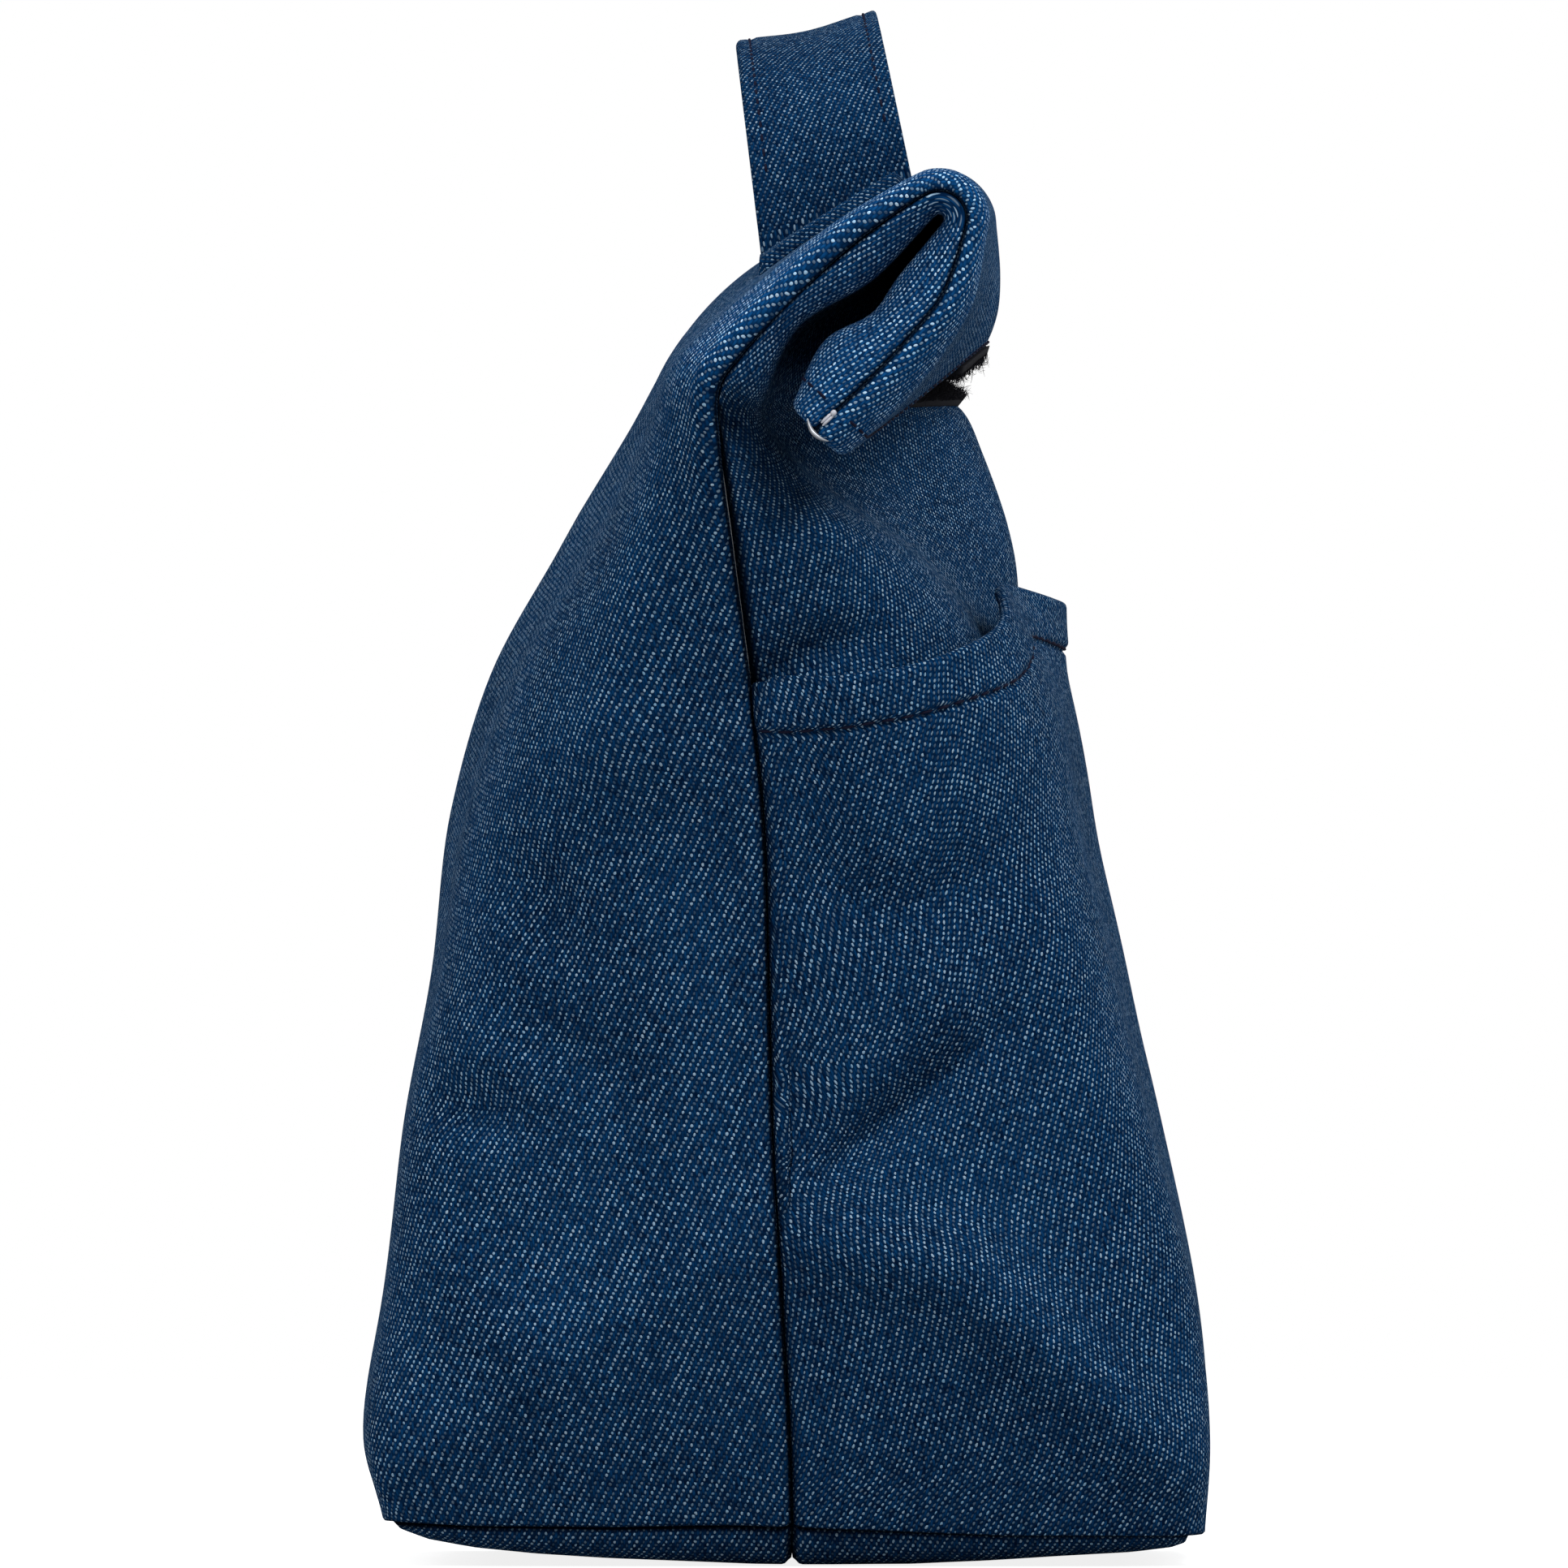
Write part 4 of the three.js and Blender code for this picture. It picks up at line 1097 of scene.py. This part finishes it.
# %% Pieces of the base
BASE_DEPTH, BASE_DROP, MIDDLE_RAISE, SEAM_SHARE = .7, -.42, 1.1, .8 / 70
BASE_THREADS = (.43, .8)
near_rim = np.linspace(0, 1, 18) ** 1.6 * .08
across_base = np.concatenate([-1 + near_rim, np.linspace(-.9, .9, 50), 1 - near_rim[::-1]])
towards_rim = 1 - np.linspace(1, 0, 18) ** 1.8 * .09
share_base = np.concatenate([np.linspace(0, .04, 6), np.linspace(.06, .9, 30), towards_rim])
for direction, half in ((-1, "back"), (1, "front")):
    shares_grid, across_grid = np.meshgrid(share_base, across_base, indexing="ij")
    p = base_point(direction, shares_grid, across_grid, BASE_DEPTH)
    p[..., 2] += BASE_DROP + MIDDLE_RAISE * np.exp(-(shares_grid / SEAM_SHARE) ** 2)
    p[..., 2] = np.maximum(p[..., 2], 0)
    in_middle = .95 * np.exp(-(shares_grid / SEAM_SHARE) ** 4)
    shade = np.maximum(in_middle, smoothstep(p[..., 2], RIM - 1.7, RIM - .9))
    p = edge_wave(p)
    p = np.concatenate([p[:1] + [0, direction * .3, 2.4], p])
    along, across = lengths_along(p), lengths_along(p, 1)
    uv = np.stack([-(along * direction) / BASE_THREADS[0], across / BASE_THREADS[1]], -1)
    stands = (f"base_outer_{half}",) + (("base_insulation",) if half == "back" else ())
    grid_piece(f"base_cloth_{half}", p, denim_cloth, "bag_body", uv=uv, normals=normals_of(p, [0, 0, -1]),
               slot="denim", stands_for=stands, hollow=extended(shade, 1, 0))
shares_grid, across_grid = np.meshgrid(np.linspace(0, 1, 24), np.linspace(-1, 1, 40), indexing="ij")
film = np.concatenate([base_point(-1, shares_grid[::-1], across_grid, 4)[:-1],
                       base_point(1, shares_grid, across_grid, 4)])
film[..., 2] += 1.6
grid_piece("base_lining_film", film, foil, "bag_body", normals=normals_of(film, [0, 0, 1]),
           slot="lining", stands_for=("base_lining",))
print("base cloth:", len(share_base), "rows from middle to rim")

# %% [markdown]
# ## Handle: the arch
#
# The handle is one flat strap in an arch, folded from denim, which leans back and twists a little. A
# curve with a bevel would make such a strap, but its weave would stretch in the bends. So a formula
# gives the point at any length and width of the strap, and the mesh and the stitches both ask it.

# %% Points of the strap
STRAP_WIDTH, STRAP_THICK, SPAN, RISE, FOOT = 27.0, 2.2, 124.0, 36.8, 20.0
RISE_POWER, SIDE_POWER, TILT_POWER = .75, .8, 1.2
BACK_FOOT, LEAN = np.array([-4.6, 231.6]), np.array([-4.6, 38.0])
slope = np.array([22.4, 245]) - [-4.1, 231.6]
slope /= np.linalg.norm(slope)
FRONT_FOOT = BACK_FOOT + slope * (STRAP_WIDTH + 2.8)
TOP_EDGE = BACK_FOOT + LEAN + polar((0, 0), STRAP_WIDTH - 1.5, 12)


def strap_at(along, width, lift):
    """Points and outward directions at shares of the arch and of the width, lifted off the middle ply."""
    a = np.pi * along
    rise = RISE / LEAN[1] * np.sin(a) ** RISE_POWER
    low = BACK_FOOT + LEAN * rise[..., None]
    high = FRONT_FOOT + (TOP_EDGE - FRONT_FOOT) * rise[..., None]
    place = low + (high - low) * width[..., None]
    place = place - np.array([0, 1.0]) * (np.sin(np.pi * width) ** 2 * np.sin(a) ** 4)[..., None]
    x = -SPAN / 2 * np.sign(np.cos(a)) * np.abs(np.cos(a)) ** SIDE_POWER
    out = np.stack([-np.cos(a), np.zeros_like(a), np.maximum(np.sin(a), 0) ** TILT_POWER], -1)
    out /= np.linalg.norm(out, axis=-1, keepdims=True)
    return np.stack([x, -place[..., 0], place[..., 1]], -1) + out * lift[..., None], out


def along_at(height):
    """The share of the arch at which the back edge is so high above its foot."""
    return math.asin((height / RISE) ** (1 / RISE_POWER)) / math.pi


print("the strap is halfway up at", round(along_at(RISE / 2), 3), "of its length")

# %% [markdown]
# ## Handle: the profile
#
# The strap's section is flat with round edges and a shallow groove where each line of stitches pulls
# the plies together. A bevelled box would have the edges but not the grooves. So the section is a
# closed line of widths and lifts, which is carried along the arch.

# %% Profile of the strap
EDGE_ROUND, STITCH_INSET, GROOVE_WIDTH, GROOVE_DEPTH = .9, 2.6, .55, .4
half_thick = STRAP_THICK / 2
flat_part = np.linspace(EDGE_ROUND, STRAP_WIDTH - EDGE_ROUND, 26)
turn = np.linspace(0, np.pi, 8)[1:-1]
bulge_out, swing = EDGE_ROUND * np.sin(turn), half_thick * np.cos(turn)
profile_w = np.concatenate([flat_part, STRAP_WIDTH - EDGE_ROUND + bulge_out,
                            flat_part[::-1], EDGE_ROUND - bulge_out])
profile_lift = np.concatenate([np.full(26, half_thick), swing, np.full(26, -half_thick), -swing])
grooves = [np.exp(-((profile_w - w) / GROOVE_WIDTH) ** 2) for w in (STITCH_INSET, STRAP_WIDTH - STITCH_INSET)]
profile_lift = profile_lift * (1 - GROOVE_DEPTH * sum(grooves))
print("points round the strap:", len(profile_w))

# %% [markdown]
# ## Handle: strap and roots
#
# When the handle swings, only the strap turns. Its feet are sewn down, so the lowest part of each leg,
# the root, has to bend. The whole strap is made as one grid, cut where the roots end, and each root is
# given the two bodies, but hung on neither. The ends sink a little, so that no slit opens at the feet.

# %% Strap and roots
ROOT_HIGH, ROOT_LOW, STRAP_ROWS, END_SINK = 11, .4, 181, 1.6
ROOT_BLEND = (.5, 8.3)
STRAP_THREADS = ((2.705, .071), (.53, 1.55))
root_top, root_low = along_at(ROOT_HIGH), along_at(ROOT_LOW)
edge_at = np.linspace(root_low, 1 - root_low, STRAP_ROWS)
ones = np.ones((STRAP_ROWS, len(profile_w)))
whole = strap_at(edge_at[:, None] * ones, ones * profile_w / STRAP_WIDTH, ones * profile_lift)[0]
run = lengths_along(whole)
whole_uv = np.stack([by_width * profile_w + by_run * run for by_width, by_run in STRAP_THREADS], -1)
outward = normals_of(whole, whole - whole.mean(axis=1, keepdims=True))
for end, beside in ((0, 1), (-1, -2)):
    step = whole[end] - whole[beside]
    whole[end] += step / np.linalg.norm(step, axis=1, keepdims=True) * END_SINK
foot_normal = np.array([-slope[1], slope[0]])
blend_ends = [BACK_FOOT + foot_normal * reach for reach in ROOT_BLEND]
handle_blend = ("bag_body", "handle") + tuple((0, -end[0], end[1]) for end in blend_ends)
first = int(np.searchsorted(edge_at, root_top))
for label, rows, body in (
        ("strap", slice(first, STRAP_ROWS - first), "handle"),
        ("root_left", slice(0, first + 1), handle_blend),
        ("root_right", slice(STRAP_ROWS - 1 - first, STRAP_ROWS), handle_blend)):
    kind, _, where = label.partition("_")
    name = "_".join(filter(None, ("handle", kind, "cloth", where)))
    grid_piece(name, whole[rows], strap_denim, body, uv=whole_uv[rows], normals=outward[rows], wrap=True,
               slot="denim", stands_for=(f"handle_{label}",))
    print(name, "has", len(whole[rows]), "rows")

# %% [markdown]
# ## Handle: its stitches
#
# Both edges of the strap are stitched through, so there is a line of thread on each face. An array
# modifier on a curve could lay the stitches as well. Taken from the same formula as the mesh, they stay
# in the groove when the strap is changed.

# %% Four lines of stitches
at = np.linspace(root_top, 1 - root_top, 160)
for edge, width in (("back", STITCH_INSET), ("front", STRAP_WIDTH - STITCH_INSET)):
    for face_side, sign in (("outer", 1), ("inner", -1)):
        path, out = strap_at(at, np.full(160, width / STRAP_WIDTH), np.full(160, sign * half_thick * .66))
        line = stitches(f"strap_stitches_{edge}_{face_side}", path, out * sign, thread, "handle",
                        pitch=3.0, length=2.2, radius=.25)
        print(line.name, "has", len(line.data.vertices) // (RING * RINGS), "stitches")

# %% [markdown]
# ## Handle: places on the sloping top
#
# The ends of the strap lie flat on the uneven back cloth. A shrinkwrap modifier would press them onto
# it. The master grid is at hand, so each point of a foot is put on the mean of the nearest points of
# the cloth.

# %% Where the feet lie
NEAREST, FOOT_START = 8, SPAN / 2
region = slice(ROW_START[FOLD_START - 5], ROW_START[FOLD_START])
top_p, top_n = (outer["back"][key][region].reshape(-1, 3) for key in ("p", "n"))


def on_back(x, u):
    """A point of the back cloth near the crown, and its outward direction, over a place (x, u)."""
    d = np.hypot(top_p[:, 0] - x, -top_p[:, 1] - u)
    near = np.argsort(d)[:NEAREST]
    w = 1 / (d[near] + .05) ** 2
    w /= w.sum()
    return (top_p[near] * w[:, None]).sum(0), (top_n[near] * w[:, None]).sum(0)


def over_foot(side, x, share):
    """The place on the cloth at a distance along the foot and a share of its width."""
    return on_back(side * x, BACK_FOOT[0] + (FRONT_FOOT[0] - BACK_FOOT[0] - 1) * share)


print("cloth at the left foot:", over_foot(-1, FOOT_START, .5)[0].round(1))

# %% [markdown]
# ## Handle: the feet
#
# A foot is a flat patch with rounded edges and a groove at each of its two lines of stitches. A
# thickened plane would have sharp sides. A height over the cloth, worked out for each point, gives the
# round edges and the grooves at once, and a border of points close to the cloth closes the sides.

# %% Feet of the handle
FOOT_LOW, FOOT_EDGE, FOOT_THICK, FOOT_GROOVE = .1, .35, 1.9, .35
FOOT_LINES = (FOOT_START + 3.5, FOOT_START + FOOT - 3)
FOOT_THREADS = (.38, .6)
foot_xs = np.concatenate([[FOOT_START - 1.2], np.linspace(FOOT_START - .4, FOOT_START + FOOT - 1, 16),
                          [FOOT_START + FOOT - .3, FOOT_START + FOOT]])


def foot_height(x, share):
    round_off = min(1, min(share, 1 - share) * STRAP_WIDTH / .9, (foot_xs[-1] - x) / .8 + .001)
    stitched = sum(math.exp(-((x - line) / .5) ** 2) for line in FOOT_LINES)
    return FOOT_EDGE + FOOT_THICK * math.sqrt(max(0, 1 - (1 - round_off) ** 2)) - FOOT_GROOVE * stitched


def foot(side, label):
    grid = []
    for share in np.linspace(0, 1, 22):
        places = [over_foot(side, x, share) for x in foot_xs]
        low = [p + nrm * FOOT_LOW for p, nrm in places]
        top = [p + nrm * foot_height(x, share) for x, (p, nrm) in zip(foot_xs, places)]
        ring = [low[0], *top, low[-1]]
        under = [low[0], *low, low[-1]]
        grid += [under, ring] if share == 0 else [ring, under] if share == 1 else [ring]
    grid = np.array(grid)
    across, along = lengths_along(grid), lengths_along(grid, 1)
    uv = np.stack([across / FOOT_THREADS[0], -along * side / FOOT_THREADS[1]], -1)
    grid_piece(f"handle_foot_cloth_{label}", grid, strap_denim, "bag_body", uv=uv,
               normals=normals_of(grid, [0, .4, .9]), slot="denim", stands_for=(f"handle_foot_{label}",))
    for k, x in enumerate(FOOT_LINES):
        line = np.array([over_foot(side, x, share) for share in np.linspace(.06, .94, 24)])
        stitches(f"foot_stitches_{label}_{k}", line[:, 0] + line[:, 1] * FOOT_THICK, line[:, 1], thread,
                 "bag_body", pitch=3.0, length=2.2, radius=.2)
    print("foot on the", label, "has", grid.shape[:2], "points")


foot(-1, "left")
foot(1, "right")

# %% [markdown]
# ## Hook and loop tapes
#
# One tape is sewn on the shoulder of the body and one under the mouth of the flap. Straight strips
# could be pressed onto the cloth with a modifier, but the rows of the front cloth already lie right.
# The tape at the mouth goes on over the hem, so three rows are added there.

# %% Where the tapes lie
TAPE_HALF, TAPE_ROWS = 42.0, 12
MOUTH_TURNS = (((0, 4, .4), (0, 0, -1)), ((0, 1.5, 0), (0, 0, -1)), ((0, -.9, .3), (0, .3, -1)))


def tape_ground(start, end):
    """Places and outward directions of the front cloth under a tape, with the columns they are in."""
    rows = np.linspace(start, end, TAPE_ROWS).astype(int)
    columns = np.flatnonzero(np.abs(front["p"][rows[0], :, 0]) < TAPE_HALF)
    return front["p"][rows][:, columns], front["n"][rows][:, columns], columns


def mouth_ground():
    p, nrm, columns = tape_ground(ROW_START[MOUTH] - 22, ROW_START[MOUTH])
    end = outer["back"]["p"][-1, columns]
    p = np.concatenate([p] + [(end + shift)[None] for shift, _ in MOUTH_TURNS])
    nrm = np.concatenate([nrm] + [(end * 0 + way)[None] for _, way in MOUTH_TURNS])
    return p, nrm / np.linalg.norm(nrm, axis=2, keepdims=True)


shoulder_ground = tape_ground(ROW_START[9] + 1, ROW_START[10] + 3)[:2]
print("columns under the shoulder tape:", shoulder_ground[0].shape[1])

# %% [markdown]
# ## Hairs of the tapes
#
# The pile of the tape is short curved hairs. A particle system would grow them, but it isn't exported
# as mesh. Each hair here is a thin three-sided tube through four knots, with its place, lean and height
# drawn at random from one seeded generator, so that every run gives the same pile.

# %% Hairs as tubes
HAIRS, KNOTS, THIRD_TURN, TAPER = 5200, (0, .35, .7, 1), 2.094, .2


def hairs(name, top, nrm, body, stands_for):
    rows, columns = top.shape[:2]
    r, c = rng.uniform(0, rows - 1.01, HAIRS), rng.uniform(0, columns - 1.01, HAIRS)
    i, j = r.astype(int), c.astype(int)
    fr, fc = (r - i)[:, None], (c - j)[:, None]
    here, beyond = (top[i, k] * (1 - fr) + top[i + 1, k] * fr for k in (j, j + 1))
    base = here * (1 - fc) + beyond * fc
    lean = rng.normal(0, .7, (HAIRS, 3))
    tall = rng.uniform(.5, 1.7, HAIRS)[:, None]
    thick = rng.uniform(.04, .075, HAIRS)[:, None]
    points = []
    for k, t in enumerate(KNOTS):
        knot = base + nrm[i, j] * tall * math.sin(t * 2.1) / .95 + lean * t * t * tall * .7
        for a in np.arange(3) * THIRD_TURN:
            turn = np.array([math.cos(a), math.sin(a), math.sin(a + 1)])
            points.append(knot + turn * thick * (1 - TAPER * k))
    faces = grid_faces(len(KNOTS), 3, wrap=True)[None] + (np.arange(HAIRS) * len(points))[:, None, None]
    mesh_piece(name, np.array(points).transpose(1, 0, 2), faces.reshape(-1, 4), hook_hair, body,
               slot="tape", stands_for=stands_for)


print("hairs on each tape:", HAIRS)

# %% [markdown]
# ## Bands of the tapes
#
# Below the pile is a woven band, a little wavy because it is sewn on soft cloth. Another colour on the
# denim would have no edge that casts a shadow. So the band is a closed sheet: top, underside and a row
# halfway up at each edge.

# %% Shoulder tape and mouth tape
TAPE_TOP, TAPE_LOW = 1.5, .1


def tape(name, p, nrm, body, stands_for):
    wobble = .12 * np.sin(p[..., 0] / 9) + .08 * np.sin(p[..., 0] / 3.1)
    top, low = p + nrm * (TAPE_TOP + wobble)[..., None], p + nrm * TAPE_LOW
    half = (low + top) / 2
    grid = np.concatenate([low[:1], top, low[-1:], low[::-1]])
    middle = np.concatenate([half[:1], half, half[-1:], half[::-1]])
    grid = np.concatenate([middle[:, :1], grid, middle[:, -1:]], 1)
    band = grid_piece(name, grid, tape_weave, body, slot="tape", stands_for=stands_for[:1])
    hairs(name + "_pile", top, nrm, body, stands_for[1:])
    print(band.name, "is", round(float(np.ptp(p[..., 0]))), "mm long")


tape("shoulder_tape", *shoulder_ground, "bag_body", ("body_tape", "body_tape_pile"))
tape("mouth_tape", *mouth_ground(), "flap", ("flap_tape", "flap_tape_pile"))

# %% [markdown]
# ## Bar tacks at the mouth corners
#
# A pale bar tack closes the hem across each side seam. A small white block would do from afar, but
# close up the real one is a bundle of thread. Three very short rows of the same stitches give it, laid
# along the seam from the mouth.

# %% Bar tacks
TACK_PITCH, TACK_PLACES = .04, 8
STRANDS = ((-.22, 0, 2.7, .27), (.22, .3, 2.5, .27), (.05, 2.5, .9, .5))
CORNERS = (("left", 0, -1), ("right", -1, 1))
front_p, back_p = (outer[half]["p"] for half in ("front", "back"))


def seam_from_mouth(column, sign):
    """The side seam's first rows above the mouth, a little outside the cloth."""
    return ((front_p[:, column] + back_p[:, column]) / 2)[:-12:-1] + [sign * 1.5, 0, 0]


for side, column, sign in CORNERS:
    seam_line, facing = seam_from_mouth(column, sign), np.tile([float(sign), 0, 0], (TACK_PLACES, 1))
    for strand, (shift, start, length, radius) in enumerate(STRANDS):
        at = np.linspace(start, start + length + .2, TACK_PLACES)
        path = at_lengths(at, seam_line + [0, shift, shift * .6])
        stitches(f"bar_tack_{side}_{strand}", path, facing, white_thread, "flap",
                 pitch=TACK_PITCH, length=length, radius=radius)
    print("bar tack on the", side, "has", len(STRANDS), "strands")

# %% [markdown]
# ## The lining's edge at the corners
#
# At each mouth corner a little of the silver film shows, as a soft roll between the hems of front and
# back. Half a torus would be too even, so it is a bent tube that thins out at both ends.

# %% Edge of the lining
TUBE_RING, TUBE_ROWS = 12, 19
t = np.linspace(0, 1, TUBE_ROWS)[:, None]
plump = np.sin(np.pi * np.clip(t, .02, .98)) ** .5
for side, column, sign in CORNERS:
    near = 9 if side == "left" else -10
    onward = front_p[-1, near] - front_p[-2, near]
    onward /= np.linalg.norm(onward)
    ends = front_p[-1, near] + onward * .4, back_p[-1, near] + onward * .6
    bend = seam_from_mouth(column, sign)[0] + onward * 3.4
    arc = ends[0] * (1 - t) ** 2 + bend * 2 * t * (1 - t) + ends[1] * t ** 2
    high, wide, inwards = onward * .45, np.array([sign * 2.2, 0, 0]), [sign * 1.2, 0, 0]
    ring = [arc + plump * (high * math.cos(a) + wide * math.sin(a)) - inwards
            for a in np.linspace(0, 2 * np.pi, TUBE_RING, endpoint=False)]
    grid_piece(f"lining_edge_{side}", np.array(ring).transpose(1, 0, 2), foil, "flap", wrap=True,
               slot="lining")
    print("lining edge on the", side, "is", round(float(lengths_along(arc)[-1]), 1), "mm long")

# %% [markdown]
# ## World
#
# The photograph has a white background, but white light from all sides would wash the cloth out. A
# light path node tells the camera's rays from the others: the camera sees white, while the cloth gets a
# weak cool light.

# %% World
world = bpy.data.worlds.new("Studio")
bpy.context.scene.world = world
world.use_nodes = True
world.node_tree.nodes.clear()
n = Nodes(world.node_tree)
seen = n.add("ShaderNodeBackground", Color=(1, 1, 1, 1), Strength=1.0)
lit = n.add("ShaderNodeBackground", Color=(.92, .95, 1, 1), Strength=.2)
ray = n.add("ShaderNodeLightPath")
choose = n.add("ShaderNodeMixShader", i0=ray.outputs["Is Camera Ray"], i1=lit.outputs[0], i2=seen.outputs[0])
n.add("ShaderNodeOutputWorld", Surface=choose.outputs[0])
print("world nodes:", len(world.node_tree.nodes))

# %% [markdown]
# ## Floor
#
# A floor catches the soft shadow at the base. It has to vanish into white further off, so it glows for
# the camera only, more and more with the distance. It belongs to the stage and isn't exported.

# %% Floor
FLOOR_HALF, FLOOR_Z = 3, -.0003
floor_mesh = bpy.data.meshes.new("floor")
corners = [(x * FLOOR_HALF, y * FLOOR_HALF, FLOOR_Z) for x, y in ((-1, -1), (1, -1), (1, 1), (-1, 1))]
floor_mesh.from_pydata(corners, [], [(0, 1, 2, 3)])
floor_material, n, floor_shader = principled("PaleFloor", (.42, .42, .42), .8)
where = n.add("ShaderNodeNewGeometry")
distance = n.add("ShaderNodeVectorMath", [("operation", "LENGTH")], i0=where.outputs["Position"])
glow = n.add("ShaderNodeMapRange", **{"Value": distance.outputs["Value"], "From Min": .25, "From Max": .8,
                                      "To Min": .85, "To Max": 1.0})
ray = n.add("ShaderNodeLightPath")
seen_glow = n.maths("MULTIPLY", glow.outputs[0], ray.outputs["Is Camera Ray"])
n.put((1, 1, 1, 1), floor_shader.inputs["Emission Color"])
n.put(seen_glow, floor_shader.inputs["Emission Strength"])
floor_mesh.materials.append(floor_material)
floor = bpy.data.objects.new("floor", floor_mesh)
bpy.context.scene.collection.objects.link(floor)
print("floor at", FLOOR_Z * 1000, "mm")

# %% [markdown]
# ## Lights
#
# The shadows in the photograph are faint and soft, as from large panels. Small lamps would give hard
# edges. The key light comes from the camera's side and above, and weaker panels fill the shadows and
# outline the back.

# %% Panel lights
LIGHTS = (
    ("key", (-.95, -.8, 1.6), .8, 23),
    ("fill", (-1.35, 1.0, 1.0), .9, 11),
    ("top", (0, .1, 1.7), 1.0, 8),
    ("rim_back", (.5, 1.4, .9), .8, 9),
    ("rim_front", (.5, -1.4, .9), .8, 8),
)
AIM = Vector((0, 0, .12))
for name, at, size, power in LIGHTS:
    data = bpy.data.lights.new(name, "AREA")
    data.shape, data.size, data.size_y, data.energy = "RECTANGLE", size, size, power
    lamp = bpy.data.objects.new(name, data)
    lamp.location = at
    lamp.rotation_euler = (AIM - Vector(at)).to_track_quat("-Z", "Y").to_euler()
    bpy.context.scene.collection.objects.link(lamp)
    print(name, "light:", power, "W")

# %% [markdown]
# ## Camera and colour
#
# The photograph was taken straight at the side from far away. A long lens at ten metres keeps the bag's
# near and far side the same size, as an orthographic camera would, and still gives a true perspective.
# The standard view keeps the white background white.

# %% Camera
DISTANCE, NEAR_SIDE, FRAME_WIDTH, SENSOR = 10.0, .1, .276, 36
camera_data = bpy.data.cameras.new("camera")
camera_data.sensor_width = SENSOR
camera_data.lens = SENSOR * (DISTANCE - NEAR_SIDE) / FRAME_WIDTH
camera_data.clip_start, camera_data.clip_end = .1, 60
camera = bpy.data.objects.new("camera", camera_data)
camera.location = (-DISTANCE, .0005, .1374)
camera.rotation_euler = (math.pi / 2, 0, -math.pi / 2)
bpy.context.scene.collection.objects.link(camera)
bpy.context.scene.camera = camera
bpy.context.scene.view_settings.view_transform = "Standard"
print("lens:", round(camera_data.lens), "mm")

# %% [markdown] ## Finish
